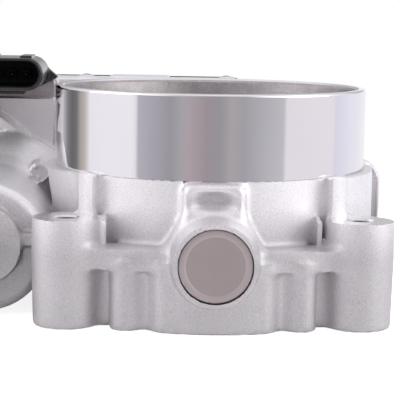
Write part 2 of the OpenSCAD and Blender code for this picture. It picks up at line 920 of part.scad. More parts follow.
module connector_shell() {
    color("black")
    difference() {
        union() {
            round_slab(plug_x - plug_w / 2, plug_x + plug_w / 2, plug_z - plug_h / 2,
                plug_z + plug_h / 2, plug_y, 45, 6.1);
            // Diamond flange.
            xz_slab(44.4, 48.4)
                polygon([
                    [plug_x + 23, 71], [plug_x + 22.7, 70], [plug_x + 18.2, 67.8],
                    [plug_x + 12, 65.5], [plug_x + 11, 64], [plug_x - 11, 64],
                    [plug_x - 12, 65.5], [plug_x - 18.2, 67.8], [plug_x - 22.7, 70],
                    [plug_x - 23, 71], [plug_x - 16.8, 76.4], [plug_x - 15.8, 77.2],
                    [plug_x + 15.8, 77.2], [plug_x + 16.8, 76.4]
                ]);
            block([plug_x - 10, 48, 64.3], [plug_x + 10, 57.2, 66.8]);
            // Latch ramp and keying ribs on top.
            block([plug_x - 4, 23, plug_z + 4], [plug_x + 4.5, 30, plug_z + plug_h / 2 + 1]);
            for (x = [-15.7, 11.7])
                block([plug_x + x, 21.4, plug_z + 4], [plug_x + x + 4, 36, plug_z + plug_h / 2 + 0.8]);
        }
        round_slab(plug_x - plug_w / 2 + 1.1, plug_x + plug_w / 2 - 1.1, plug_z - plug_h / 2 + 1.1,
            plug_z + plug_h / 2 - 1.1, plug_y - 1, 41, 5);
        for (i = [0:pin_count - 1])
            block([plug_x + (i - 2.5) * pin_pitch - 0.5, 40, plug_z - 0.5],
                [plug_x + (i - 2.5) * pin_pitch + 0.5, 46, plug_z + 0.5]);
    }
}

module connector_pins() {
    color("goldenrod")
    for (i = [0:pin_count - 1])
        block([plug_x + (i - 2.5) * pin_pitch - 0.5, 26, plug_z - 0.5],
            [plug_x + (i - 2.5) * pin_pitch + 0.5, 46, plug_z + 0.5]);
}

module connector_seal() {
    color("firebrick")
    difference() {
        round_slab(plug_x - 10.9, plug_x + 10.9, 64, 69.6, 48.4, 49, 1.2);
        block([plug_x - 10, 40, 64.3], [plug_x + 10, 60, 66.8]);
    }
}

// ---------------------------------------------------------------- nodes

housing();
front_end_cap();
needle_bearing_shell();
needle_rollers();
shaft_seals();
rear_bearing_outer();
rear_bearing_balls();
rear_bearing_inner();
throttle_shaft();
throttle_plate();
plate_screws();
throttle_gear();
sensor_magnet();
return_spring();
spring_bush();
closed_stop_pin();
intermediate_gear_a();
intermediate_gear_b();
gear_pins();
motor_can();
motor_magnets();
motor_armature();
motor_winding();
motor_shaft();
motor_pinion();
motor_bushings();
motor_end_plate();
motor_brushes();
motor_terminals();
motor_screws();
motor_wave_spring();
gear_cover();
cover_gasket();
cover_screws();
sensor_board();
sensor_leads();
connector_shell();
connector_pins();
connector_seal();
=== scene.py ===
import json
import math

import bmesh
import bpy
import numpy as np
from mathutils import Matrix, Vector


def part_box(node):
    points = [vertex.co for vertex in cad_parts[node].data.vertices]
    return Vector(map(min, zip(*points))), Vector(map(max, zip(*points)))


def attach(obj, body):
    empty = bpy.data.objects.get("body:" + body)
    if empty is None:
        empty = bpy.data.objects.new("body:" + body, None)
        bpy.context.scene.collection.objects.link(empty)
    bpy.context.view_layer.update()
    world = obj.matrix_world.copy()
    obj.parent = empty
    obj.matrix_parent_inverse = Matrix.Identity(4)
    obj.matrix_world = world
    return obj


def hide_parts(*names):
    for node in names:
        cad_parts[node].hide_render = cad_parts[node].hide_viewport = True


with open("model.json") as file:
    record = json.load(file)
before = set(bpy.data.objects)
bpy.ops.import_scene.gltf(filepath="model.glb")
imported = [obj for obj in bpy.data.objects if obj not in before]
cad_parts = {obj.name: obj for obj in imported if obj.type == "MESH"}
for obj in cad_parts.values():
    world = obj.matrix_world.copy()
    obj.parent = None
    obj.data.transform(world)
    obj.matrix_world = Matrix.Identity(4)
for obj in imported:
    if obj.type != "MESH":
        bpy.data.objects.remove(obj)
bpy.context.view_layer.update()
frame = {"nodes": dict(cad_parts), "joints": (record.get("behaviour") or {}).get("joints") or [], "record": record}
MM = 0.001
NODES = frame["nodes"]
JOINTS = {j["name"]: j for j in frame["joints"]}
MOUNTS = {m["name"]: m for m in frame["record"]["mounts"]}


# ------------------------------------------------------------------ sizes, in mm
def low_mm(node):
    return np.array(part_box(node)[0]) / MM


def high_mm(node):
    return np.array(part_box(node)[1]) / MM


# From the frame. X is to the right, Y to the back and Z up. The manifold face is at Z = 0.
AXIS_Z = JOINTS["throttle_hinge"]["pos_m"][2] / MM
MOTOR_X = JOINTS["motor_spin"]["pos_m"][0] / MM
GEAR_A = [JOINTS["gear_a_spin"]["pos_m"][i] / MM for i in (0, 2)]
GEAR_B = [JOINTS["gear_b_spin"]["pos_m"][i] / MM for i in (0, 2)]
PITCH = MOUNTS["manifold_bolts"]["dims"]["spacing_x_mm"] / 2
BOLT_R = MOUNTS["manifold_bolts"]["dims"]["hole_r_mm"]
RING_R = MOUNTS["inlet_ring"]["dims"]["r_mm"]
CAP_R = high_mm("front_end_cap")[0]
BOSS_Y = low_mm("housing")[1]
RIM_Y = low_mm("cover_gasket")[1]
COVER_Y = high_mm("cover_gasket")[1]

# Shared by several parts of the casting.
RING_Z0, RING_Z1 = 44.5, 70.5
BORE_R, MOUTH_R, BARREL_R = 45.0, 47.4, 50.0
PILLAR_H = 32.7
CASE_LEFT, CASE_RIGHT, CASE_BOTTOM, CASE_TOP = -101.5, 20.0, 0.6, 69.4
CASE_CORNER_R, CASE_LOBE_R = 10, 27.3
COVER_SCREWS = [(-44.6, 65.4), (9, 65.4), (-95.5, 64), (-95.5, 9), (-36, 5.6), (22.5, 6.2)]
BURIED = -5      # Z at which shapes start that the manifold face cuts off
ROOT_Y = -42     # Y at which the shapes on the front end, inside the barrel's wall
FAR = 1000.0


# ------------------------------------------------------------------ distance fields
def span(w, a, b):
    return np.abs(w - (a + b) / 2) - (b - a) / 2


def meet(a, b, e=0.0):
    """Where both fields are solid, with the edge rounded to radius e."""
    if e == 0:
        return np.maximum(a, b)
    a, b = a + e, b + e
    return np.minimum(np.maximum(a, b), 0) + np.hypot(np.maximum(a, 0), np.maximum(b, 0)) - e


def join(a, b, k=0.0):
    """Where either field is solid, with a fillet about k wide."""
    if k == 0:
        return np.minimum(a, b)
    h = np.maximum(k - np.abs(a - b), 0.0) / k
    return np.minimum(a, b) - h * h * k * 0.25


def cut(a, b, k=0.0):
    return -join(-a, b, k)


def box(x, y, z, low, high, e=0.0):
    flat = meet(span(x, low[0], high[0]), span(y, low[1], high[1]), e)
    return meet(flat, span(z, low[2], high[2]), e)


def rod(u, v, w, r, w0, w1, e=0.0):
    return meet(np.hypot(u, v) - r, span(w, w0, w1), e)


def rounded(u, v, u0, u1, v0, v1, r):
    """A flat rectangle with round corners."""
    a, b = span(u, u0, u1) + r, span(v, v0, v1) + r
    return np.minimum(np.maximum(a, b), 0) + np.hypot(np.maximum(a, 0), np.maximum(b, 0)) - r


def outline(u, v, corners):
    """Signed distance to a closed outline."""
    reach, inside = np.full(len(u), FAR), np.zeros(len(u), bool)
    for (u0, v0), (u1, v1) in zip(corners, corners[1:] + corners[:1]):
        du, dv = u1 - u0, v1 - v0
        t = np.clip(((u - u0) * du + (v - v0) * dv) / (du * du + dv * dv), 0, 1)
        reach = np.minimum(reach, np.hypot(u - u0 - t * du, v - v0 - t * dv))
        crossing = (v0 <= v) != (v1 <= v)
        inside ^= crossing & (u < u0 + (v - v0) * du / (dv if dv else 1))
    return np.where(inside, -reach, reach)


# ------------------------------------------------------------------ surface from a field
EDGE_STEPS = np.eye(3, dtype=int)
BLOCK = 6                # cells along a block's side
BLOCKS_AT_ONCE = 400
POINTS_AT_ONCE = 200000
HALF_DIAGONAL = 0.87     # of a block, in block sides
SLACK = 1.35             # for fields that rise faster than distance does
PROBE = 0.01             # mm, for slopes
FLAT = 0.08              # a direction is free where its share of the slopes is smaller


def in_chunks(field, points):
    starts = range(0, len(points), POINTS_AT_ONCE)
    return np.concatenate([field(points[i:i + POINTS_AT_ONCE]) for i in starts])


def lattice(counts):
    return np.stack(np.meshgrid(*[np.arange(n) for n in counts], indexing="ij"), -1).reshape(-1, 3)


def sampled(field, low, high, cell):
    """The field at the corners of the cells near its surface, and nan elsewhere."""
    count = np.ceil((np.array(high) - low) / cell / BLOCK).astype(int)
    blocks = lattice(count)
    centres = low + (blocks + 0.5) * BLOCK * cell
    blocks = blocks[np.abs(in_chunks(field, centres)) < BLOCK * cell * HALF_DIAGONAL * SLACK]
    value = np.full(count * BLOCK + 1, np.nan, np.float32)
    local = lattice([BLOCK + 1] * 3)
    for i in range(0, len(blocks), BLOCKS_AT_ONCE):
        index = (blocks[i:i + BLOCKS_AT_ONCE, None, :] * BLOCK + local[None]).reshape(-1, 3)
        value[tuple(index.T)] = field(low + index * cell)
    return value


def crossed_edges(value):
    """The grid edges that pass through the surface: start, axis, and whether the start is inside."""
    starts, axes, inward = [], [], []
    for axis, step in enumerate(EDGE_STEPS):
        a = value[tuple(slice(0, s - d) for s, d in zip(value.shape, step))]
        b = value[tuple(slice(d, s) for s, d in zip(value.shape, step))]
        with np.errstate(invalid="ignore"):
            hit = np.argwhere(((a < 0) & (b >= 0)) | ((a >= 0) & (b < 0)))
        starts.append(hit)
        axes.append(np.full(len(hit), axis))
        inward.append(a[tuple(hit.T)] < 0)
    return np.concatenate(starts), np.concatenate(axes), np.concatenate(inward)


def crossings(field, value, low, cell, starts, axes):
    """Where each crossed edge meets the surface, by false position."""
    step = EDGE_STEPS[axes]
    f0 = value[tuple(starts.T)].astype(float)
    f1 = value[tuple((starts + step).T)].astype(float)
    t0, t1 = np.zeros(len(starts)), np.ones(len(starts))
    for _ in range(4):
        t = t0 + (t1 - t0) * np.clip(f0 / (f0 - f1), 0.02, 0.98)
        f = in_chunks(field, low + (starts + step * t[:, None]) * cell)
        same = (f < 0) == (f0 < 0)
        t0, f0 = np.where(same, t, t0), np.where(same, f, f0)
        t1, f1 = np.where(same, t1, t), np.where(same, f1, f)
    t = t0 + (t1 - t0) * f0 / (f0 - f1 + 1e-30)
    return low + (starts + step * t[:, None]) * cell


def slopes(field, points):
    slope = np.zeros_like(points)
    for corner in ((1, 1, 1), (1, -1, -1), (-1, 1, -1), (-1, -1, 1)):
        offset = np.array(corner) * PROBE
        slope += offset * in_chunks(field, points + offset)[:, None]
    return slope / (np.linalg.norm(slope, axis=1)[:, None] + 1e-12)


def best_points(hits, slope, where, total):
    """For each cell, the point that lies nearest to the planes through its crossings."""
    def gather(weight):
        return sum(np.bincount(where[:, k], weight, total) for k in range(4))

    many = gather(np.ones(len(hits)))
    middle = np.stack([gather(hits[:, i]) for i in range(3)], -1) / many[:, None]
    matrix = np.zeros((total, 3, 3))
    for i in range(3):
        for j in range(i, 3):
            matrix[:, i, j] = matrix[:, j, i] = gather(slope[:, i] * slope[:, j])
    reach = np.einsum("ij,ij->i", slope, hits)
    right = np.stack([gather(slope[:, i] * reach) for i in range(3)], -1)
    right -= np.einsum("nij,nj->ni", matrix, middle)
    power, basis = np.linalg.eigh(matrix)
    keep = power > FLAT * power[:, 2:3]
    along = np.einsum("nji,nj->ni", basis, right)
    along = np.where(keep, along / np.where(keep, power, 1), 0)
    return middle + np.einsum("nij,nj->ni", basis, along)


def contour(field, low, high, cell):
    """Dual contouring: keeps sharp machined edges, and gives quads of about one cell."""
    low = np.array(low, float)
    value = sampled(field, low, high, cell)
    starts, axes, inward = crossed_edges(value)
    hits = crossings(field, value, low, cell, starts, axes)
    slope = slopes(field, hits)
    around = np.zeros((len(starts), 4, 3), int)      # the four cells round each crossed edge
    for axis in range(3):
        u, v = EDGE_STEPS[(axis + 1) % 3], EDGE_STEPS[(axis + 2) % 3]
        four = np.array([[0, 0, 0], -u, -u - v, -v])
        mine = axes == axis
        around[mine] = starts[mine][:, None, :] + four[None]
    _, deep, wide = value.shape
    key = (around[..., 0] * deep + around[..., 1]) * wide + around[..., 2]
    cells, where = np.unique(key.ravel(), return_inverse=True)
    where = where.reshape(-1, 4)
    corner = np.stack([cells // (wide * deep), cells // wide % deep, cells % wide], -1)
    start = low + corner * cell
    vertex = np.clip(best_points(hits, slope, where, len(cells)), start, start + cell)
    return vertex, np.where(inward[:, None], where, where[:, ::-1])


def mesh_object(name, vertices, faces, body, sharp=32):
    mesh = bpy.data.meshes.new(name)
    vertices = np.asarray(vertices, float) * MM
    faces = np.asarray(faces)
    mesh.vertices.add(len(vertices))
    mesh.vertices.foreach_set("co", vertices.astype(np.float32).ravel())
    mesh.loops.add(faces.size)
    mesh.loops.foreach_set("vertex_index", faces.astype(np.int32).ravel())
    mesh.polygons.add(len(faces))
    mesh.polygons.foreach_set("loop_start", (np.arange(len(faces)) * faces.shape[1]).astype(np.int32))
    mesh.update(calc_edges=True)
    tidy = bmesh.new()
    tidy.from_mesh(mesh)
    bmesh.ops.remove_doubles(tidy, verts=tidy.verts, dist=1e-7)
    tidy.to_mesh(mesh)
    tidy.free()
    mesh.polygons.foreach_set("use_smooth", np.ones(len(mesh.polygons), bool))
    mesh.set_sharp_from_angle(angle=math.radians(sharp))
    obj = bpy.data.objects.new(name, mesh)
    bpy.context.scene.collection.objects.link(obj)
    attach(obj, body)
    return obj


def lathe(name, profile, body, centre, axis, steps):
    """Turns a closed profile of (radius, height, depth of six lobes) round an axis, y or z."""
    profile = np.array([(*point, 0)[:3] for point in profile], float)
    n = len(profile)
    angle = np.arange(steps) * 2 * math.pi / steps
    reach = profile[:, 0] * (1 + np.outer(np.cos(6 * angle), profile[:, 2]))
    points = np.stack([np.cos(angle)[:, None] * reach, np.sin(angle)[:, None] * reach,
                       np.tile(profile[:, 1], (steps, 1))], -1).reshape(-1, 3)
    if axis == "y":
        points = points[:, [0, 2, 1]]
    faces = []
    for i in range(steps):
        j = (i + 1) % steps
        for k in range(n):
            m = (k + 1) % n
            quad = [i * n + k, j * n + k, j * n + m, i * n + m]
            faces.append(quad[::-1] if axis == "y" else quad)
    return mesh_object(name, points + np.array(centre), faces, body, sharp=28)


# ------------------------------------------------------------------ the casting
# Each part gives fields in the order in which they join the rest, each with its fillet.
def to_bolt(x, y):
    return np.hypot(np.abs(x) - PITCH, np.abs(y) - PITCH)


def case_flat(x, z, inset=0.0):
    """The gear case's outline: a plate, and a lobe round the shaft."""
    plate = rounded(x, z, CASE_LEFT + inset, CASE_RIGHT - inset, CASE_BOTTOM + inset,
                    CASE_TOP - inset, CASE_CORNER_R - inset)
    lobe = meet(np.hypot(x, z - AXIS_Z) - CASE_LOBE_R + inset, CASE_BOTTOM + inset - z)
    return join(plate, lobe, 3)


# Walls thicker than the barrel at the sides and the back, with round edges where the thin front starts.
LEFT_WALL_R, LEFT_WALL_DRAFT, RIGHT_WALL_R = 50.5, 3.1, 53.7
DRAFT_FROM_Z, DRAFT_H = 24, 20
THIN_X, THIN_HALF_W = -0.35, 36.9


def barrel(x, y, z):
    r = np.hypot(x, y)
    yield meet(r - BARREL_R, z - RING_Z0, 0.6), 0
    drafted = LEFT_WALL_R + LEFT_WALL_DRAFT * np.clip((z - DRAFT_FROM_Z) / DRAFT_H, 0, 1)
    wall = r - np.where(x < 0, drafted, RIGHT_WALL_R)
    outside_front = np.minimum(THIN_HALF_W - np.abs(x - THIN_X), -y)
    yield meet(meet(wall, outside_front, 1.6), z - RING_Z0, 0.8), 1.2


COLUMNS, COLUMN_R, COLUMN_DEPTH = [(-38.4, -36.9), (37.7, -37.3)], 2.75, 8


def columns(x, y, z):
    for cx, cy in COLUMNS:
        column = rod(x - cx, y - cy, z, COLUMN_R, 10, RING_Z0, 0.6)
        low, high = (cx - COLUMN_R, cy, 10), (cx + COLUMN_R, cy + COLUMN_DEPTH, RING_Z0)
        yield join(column, box(x, y, z, low, high, 0.4)), 2.4


FACE_H = 12
SKIRT_TOP, SKIRT_R, SKIRT_HALF_W, SKIRT_BACK = 20.5, 60, 19.6, -40
RIDGE_X, RIDGE_Y, RIDGE_R = 26.3, -50.6, 4.8


def face_and_skirt(x, y, z):
    """The plate of the manifold face, and the skirt round its front with a ridge on each side."""
    yield box(x, y, z, (-52.4, -38, BURIED), (52.4, 38, FACE_H), 1.2), 3
    yield box(x, y, z, (-38, -40, BURIED), (38, 54, FACE_H), 1.2), 3
    ax = np.abs(x)
    skirt = meet(np.hypot(x, y) - SKIRT_R, ax - SKIRT_HALF_W, 5)
    skirt = meet(meet(skirt, z - SKIRT_TOP), y - SKIRT_BACK)
    skirt = join(skirt, box(x, y, z, (-26, -53.3, BURIED), (26, -44, SKIRT_TOP)), 3)
    skirt = join(skirt, rod(ax - RIDGE_X, y - RIDGE_Y, z, RIDGE_R, BURIED, SKIRT_TOP), 2.4)
    skirt = join(skirt, box(x, y, z, (-39, -47.6, BURIED), (39, SKIRT_BACK, SKIRT_TOP), 0.8), 2.4)
    yield skirt, 2


# The rib across the front: where its face lies at each distance from the middle.
FRONT_Y = -56.8
RIB_X = [0, 15, 25, 34, 39]
RIB_Y = [FRONT_Y, FRONT_Y, -55.2, -53.2, -52.6]
RIB_Z0, RIB_Z1, RIB_HALF_W = 18, 24.4, 40


def front_rib(x, y, z):
    ax = np.abs(x)
    front = (np.interp(ax, RIB_X, RIB_Y) - y) * 0.98
    yield meet(meet(meet(front, span(z, RIB_Z0, RIB_Z1), 0.8), ax - RIB_HALF_W, 1.0), y - ROOT_Y), 2.0


# Arms on the diagonals, with a taller and thinner one on top at the back, and a web beside each front pillar.
ARM_IN, ARM_OUT = 42, 60
LOW_ARM, TALL_ARM = (5, 18), (2, 31.7)       # half width, height
WEB_X, WEB_RIGHT_SHIFT, WEB_HALF_W = 33.2, 1.2, 0.6


def arms_and_webs(x, y, z):
    ax, ay = np.abs(x), np.abs(y)
    diagonal, across = (ax + ay) * math.sqrt(0.5), (ax - ay) * math.sqrt(0.5)
    half, top = LOW_ARM
    yield box(diagonal, across, z, (ARM_IN, -half, BURIED), (ARM_OUT, half, top), 1.0), 2.4
    half, top = TALL_ARM
    tall = box(diagonal, across, z, (ARM_IN, -half, 0), (ARM_OUT, half, top), 1.0)
    yield meet(tall, -y), 2
    web = np.abs(ax - WEB_X + WEB_RIGHT_SHIFT * (x > 0)) - WEB_HALF_W
    web = meet(web, span(z, RIB_Z0, 31.6 + 0.2 * (y + 46)), 0.5)
    yield meet(web, span(y, -46.2 + 0.05 * (z - 24), -33), 0.5), 1.0


# Bolt pillars with draft from the parting line.
PARTING_Z, PARTING_R, PILLAR_FOOT_R, PILLAR_TAPER = 22, 10.5, 10.0, 0.2


def pillars(x, y, z):
    lower = PILLAR_FOOT_R + (PARTING_R - PILLAR_FOOT_R) * z / PARTING_Z
    upper = PARTING_R - PILLAR_TAPER * ((z - PARTING_Z) / (PILLAR_H - PARTING_Z))
    radius = np.where(z < PARTING_Z, lower, upper)
    yield meet(to_bolt(x, y) - radius, z - PILLAR_H, 0.4), 2.6


BOSS_R, BOSS_DRAFT = 12.5, 1.3


def shaft_boss(x, y, z):
    boss = np.hypot(x, z - AXIS_Z) - BOSS_R - BOSS_DRAFT * np.clip((y - BOSS_Y) / 12, 0, 1)
    yield meet(meet(boss, BOSS_Y - y, 0.8), y - ROOT_Y), 1.6


TOWER_X, TOWER_HALF_W, TOWER_FLARE = -0.3, 9.9, 3.6
POCKET_X, POCKET_Z, POCKET_HALF_W, POCKET_HALF_H, POCKET_DEPTH = -0.6, 39.3, 6.9, 2.7, 2.9


def tower(x, y, z):
    """The pad above the boss, wider towards its foot, with a shallow pocket in its front."""
    half = TOWER_HALF_W + TOWER_FLARE * np.clip((36 - z) / 9, 0, 1.5) ** 1.6
    pad = meet(np.abs(x - TOWER_X) - half, FRONT_Y - y, 3.2)
    pad = meet(meet(pad, np.maximum(z - RING_Z0 + 0.3, 15 - z), 3.4), y - ROOT_Y)
    pocket = (((x - POCKET_X) / POCKET_HALF_W) ** 4 + ((z - POCKET_Z) / POCKET_HALF_H) ** 4) ** 0.5
    yield pad + POCKET_DEPTH / (1 + pocket ** 2.2) * (y < -50), 1.6


MOTOR_R, MOTOR_FRONT, MOTOR_BACK = 20.0, -37, 48
END_R, END_RAISED, END_FRONT = 12.2, 1.5, -41
FLARE_X, FLARE_FRONT, FLARE_BACK = 1.2, -24, 54
FLARE_Y = [-22, -8, 1, 8, 14, 19, 24, 28, 33, 46]
FLARE_R = [19.3, 19.4, 19.9, 21.4, 24.0, 26.9, 29.3, 30.2, 29.9, 28.4]


def motor_housing(x, y, z):
    """A round case with a raised end, and a bell that widens towards the gear case."""
    mx, mz = x - MOTOR_X, z - AXIS_Z
    yield meet(np.hypot(mx, mz) - MOTOR_R, span(y, MOTOR_FRONT, MOTOR_BACK), 3.4), 2
    yield meet(np.hypot(mx, mz - END_RAISED) - END_R, span(y, END_FRONT, -30), 0.9), 1.6
    bell = (np.hypot(mx + FLARE_X, mz) - np.interp(y, FLARE_Y, FLARE_R)) * 0.86
    bell = meet(bell, span(y, FLARE_FRONT, FLARE_BACK), 0.6)
    yield meet(bell, np.maximum(CASE_BOTTOM - z, CASE_LEFT - x), 1.0), 0.9


GATE_X, GATE_Z, GATE_R, GATE_FRONT, GATE_BACK = -56.4, 40.2, 3.3, 4.5, 34
STRUT_X, STRUT_Z, STRUT_TOP, STRUT_COS, STRUT_SIN = -66.8, 50.7, 61.6, 0.78, 0.626


def motor_webs(x, y, z):
    """The webs to the pillar and the barrel, the cut stub of the gate, and the strut below the plug."""
    yield box(x, y, z, (-62, -40, 22.5), (-45, 34, 26.7), 1.4), 1.8
    yield box(x, y, z, (-58.5, 14, 24), (-52.6, 40, 38), 1.0), 2.2
    turn = np.arctan2(z - 40, x + 57)
    stub = np.hypot(x - GATE_X, z - GATE_Z) - GATE_R - 0.5 * np.sin(3 * turn + 1) - 0.25 * np.sin(5 * turn)
    broken = GATE_FRONT + 0.35 * np.sin(2.6 * x) * np.sin(2.9 * z + 1) + 0.25 * (z - 40)
    yield meet(meet(stub, broken - y, 0.6), y - GATE_BACK), 1.3
    u, v = x - STRUT_X, z - STRUT_Z
    along, across = u * -STRUT_COS + v * STRUT_SIN, u * STRUT_SIN + v * STRUT_COS
    strut = box(along, y, across, (-3, 32, -1.6), (15, 50, 1.4), 1.0)
    yield meet(strut, z - STRUT_TOP, 0.8), 1.4


# The gear case's front Y: up to GEARS_TOP, above it, then left of MOTOR_SIDE below and above SHELF_TOP.
GEARS_FRONT, GEARS_TOP, UPPER_FRONT = 53, 45.5, 58.5
MOTOR_SIDE, SHELF_FRONT, SHELF_TOP, PLUG_WALL_FRONT = -54, 46, 62.7, 49
PAD_LOW, PAD_HIGH = (-35, 60, 60), (-13, 90, 70.1)
WALL = 3


def gear_case(x, y, z):
    flat = case_flat(x, z)
    case = meet(meet(flat, GEARS_FRONT - y, 1.6), z - GEARS_TOP, 1.6)
    case = join(case, meet(flat, UPPER_FRONT - y, 1.6), 1.0)
    shelf = meet(meet(meet(flat, SHELF_FRONT - y, 1.4), z - SHELF_TOP, 0.8), x - MOTOR_SIDE, 1.4)
    case = join(case, shelf, 1.0)
    case = join(case, meet(meet(flat, PLUG_WALL_FRONT - y, 1.4), x - MOTOR_SIDE, 1.4), 0.6)
    yield join(case, box(x, y, z, PAD_LOW, PAD_HIGH, 0.6), 0.8), 1.2


WING_Y, WING_TOP = (46, 55), 42


def wing_and_back(x, y, z):
    """The flange at the right with a raised edge, then the rear bearing's boss, its pad and two ribs."""
    plate = meet(rounded(x, z, 10, 64, CASE_BOTTOM, WING_TOP, 8), span(y, *WING_Y), 1.6)
    plate = cut(plate, meet(rounded(x, z, 50, 63.1, 4.5, 40.9, 7), span(y, 40, 47.8)), 0.5)
    inner = meet(rounded(x, z, 10, 61.4, CASE_BOTTOM, WING_TOP, 6.5), span(y, *WING_Y), 1.0)
    yield join(plate, inner, 0.4), 2
    yield rod(x, z - AXIS_Z, y, 15, 40, 57), 2
    yield box(x, y, z, (-34, 34, 2), (34, 55, 34), 1.4), 2
    for x0, x1 in ((-30, -26), (6, 10)):
        yield box(x, y, z, (x0, 38, 28), (x1, 56, 43.5), 1.0), 1.6


def case_room(x, y, z):
    """The hollow of the gear case, in the same steps as its front."""
    inside = case_flat(x, z, WALL)
    room = meet(meet(inside, GEARS_FRONT + 4 - y, 1.0), z - (GEARS_TOP - WALL), 1.0)
    room = join(room, meet(inside, UPPER_FRONT + WALL - y, 1.0))
    by_motor = x - (MOTOR_SIDE - WALL)
    room = join(room, meet(meet(inside, GEARS_FRONT + 4 - y, 1.0), by_motor, 1.0))
    return join(room, meet(meet(meet(inside, SHELF_FRONT + 4 - y, 1.0), by_motor, 1.0), z - 61, 1.0))


def case_bosses(x, y, z):
    """What stands inside the gear case: bosses for the cover's screws and for the two gear pins."""
    for cx, cz in COVER_SCREWS:
        yield rod(x - cx, z - cz, y, 4.4, 59.5, 90, 0.4), 1.2
    yield rod(x - GEAR_A[0], z - GEAR_A[1], y, 5.5, 50, 68.5), 1.2
    yield rod(x - GEAR_B[0], z - GEAR_B[1], y, 5.0, 50, 62.6), 1.2


OUTSIDE = [barrel, columns, face_and_skirt, front_rib, arms_and_webs, pillars, shaft_boss, tower,
           motor_housing, motor_webs, gear_case, wing_and_back]


def casting(x, y, z):
    d = np.full(len(x), FAR)
    for part in OUTSIDE:
        for field, fillet in part(x, y, z):
            d = join(d, field, fillet)
    d = cut(d, case_room(x, y, z), 0.6)
    for field, fillet in case_bosses(x, y, z):
        d = join(d, field, fillet)
    return d


RING_SEAT_R = 51.3
SPOT_FACE_R, CHAMFER = 9, 0.6
MOTOR_BORE_R = 17.3
# Radius, then from Y to Y. Round the shaft: clearance, needle bearing, cap, rear seal, rear bearing.
SHAFT_BORES = [(5.3, -70, 60), (7, -59.9, -46.5), (CAP_R, -80, -59.8), (8, 46.5, 49.3), (11, 49.2, 62)]
# Round the motor: its can, its end plate, and its front bushing.
MOTOR_BORES = [(MOTOR_BORE_R, -34.5, 60), (19, 50, 60), (6, -38, -30)]
PLUG_WINDOW = (-86.2, 40, 64.2), (-65.8, 70, 66.9)
TAP_R, TAP_DEPTH = 2, 12


def housing(p):
    """The casting with its machined faces and bores."""
    x, y, z = p.T
    r, bolt = np.hypot(x, y), to_bolt(x, y)
    d = meet(casting(x, y, z), -z, 1.1)
    d = np.maximum(d, y - RIM_Y)
    d = np.maximum(d, BORE_R - r)
    d = np.maximum(d, np.minimum(z - RING_Z0, RING_SEAT_R - r))
    d = np.maximum(d, BOLT_R + np.clip(z - PILLAR_H + CHAMFER, 0, CHAMFER) - bolt)
    d = np.maximum(d, np.minimum(SPOT_FACE_R - bolt, z - PILLAR_H))
    for centre_x, bores in ((0, SHAFT_BORES), (MOTOR_X, MOTOR_BORES)):
        away = np.hypot(x - centre_x, z - AXIS_Z)
        for radius, y0, y1 in bores:
            d = np.maximum(d, -meet(away - radius, span(y, y0, y1)))
    d = np.maximum(d, -box(x, y, z, *PLUG_WINDOW))
    for cx, cz in COVER_SCREWS:
        d = np.maximum(d, -rod(x - cx, z - cz, y, TAP_R, RIM_Y - TAP_DEPTH, RIM_Y + 5))
    return d


# ------------------------------------------------------------------ materials
def nodes_of(name):
    material = bpy.data.materials.new(name)
    material.use_nodes = True
    tree = material.node_tree
    shader = tree.nodes["Principled BSDF"]
    place = tree.nodes.new("ShaderNodeTexCoord").outputs["Object"]
    return material, tree, shader, place


def noise(tree, place, size, detail, rough, stretch=None):
    """A noise whose features are about size mm across, or stretched by a factor on each axis."""
    if stretch:
        scale = tree.nodes.new("ShaderNodeMapping")
        scale.inputs["Scale"].default_value = stretch
        tree.links.new(place, scale.inputs["Vector"])
        place = scale.outputs["Vector"]
    texture = tree.nodes.new("ShaderNodeTexNoise")
    texture.inputs["Scale"].default_value = 1 / (size * MM)
    texture.inputs["Detail"].default_value = detail
    texture.inputs["Roughness"].default_value = rough
    tree.links.new(place, texture.inputs["Vector"])
    return texture.outputs["Fac"]


def mapped(tree, value, low, high, from_low=0.3, from_high=0.7):
    node = tree.nodes.new("ShaderNodeMapRange")
    for key, number in (("From Min", from_low), ("From Max", from_high), ("To Min", low), ("To Max", high)):
        node.inputs[key].default_value = number
    tree.links.new(value, node.inputs["Value"])
    return node.outputs["Result"]


def mixed(tree, factor, first, second):
    node = tree.nodes.new("ShaderNodeMix")
    node.data_type = "RGBA"
    tree.links.new(factor, node.inputs[0])
    node.inputs[6].default_value = (*first, 1)
    node.inputs[7].default_value = (*second, 1)
    return node.outputs[2]


def vector_math(tree, operation, first, second=None):
    node = tree.nodes.new("ShaderNodeVectorMath")
    node.operation = operation
    tree.links.new(first, node.inputs[0])
    if second:
        node.inputs[1].default_value = second
    return node.outputs["Value" if operation == "LENGTH" else "Vector"]


def scaled(tree, colour, amount):
    node = tree.nodes.new("ShaderNodeVectorMath")
    node.operation = "SCALE"
    tree.links.new(colour, node.inputs[0])
    tree.links.new(amount, node.inputs["Scale"])
    return node.outputs[0]


def bumped(tree, shader, height, strength, distance):
    node = tree.nodes.new("ShaderNodeBump")
    node.inputs["Strength"].default_value = strength
    node.inputs["Distance"].default_value = distance * MM
    tree.links.new(height, node.inputs["Height"])
    tree.links.new(node.outputs["Normal"], shader.inputs["Normal"])


ROUGH_SPREAD = 0.06
SPOT_FADE = (0.7, 1.15)      # where a spot's shade ends, in shares of its radii


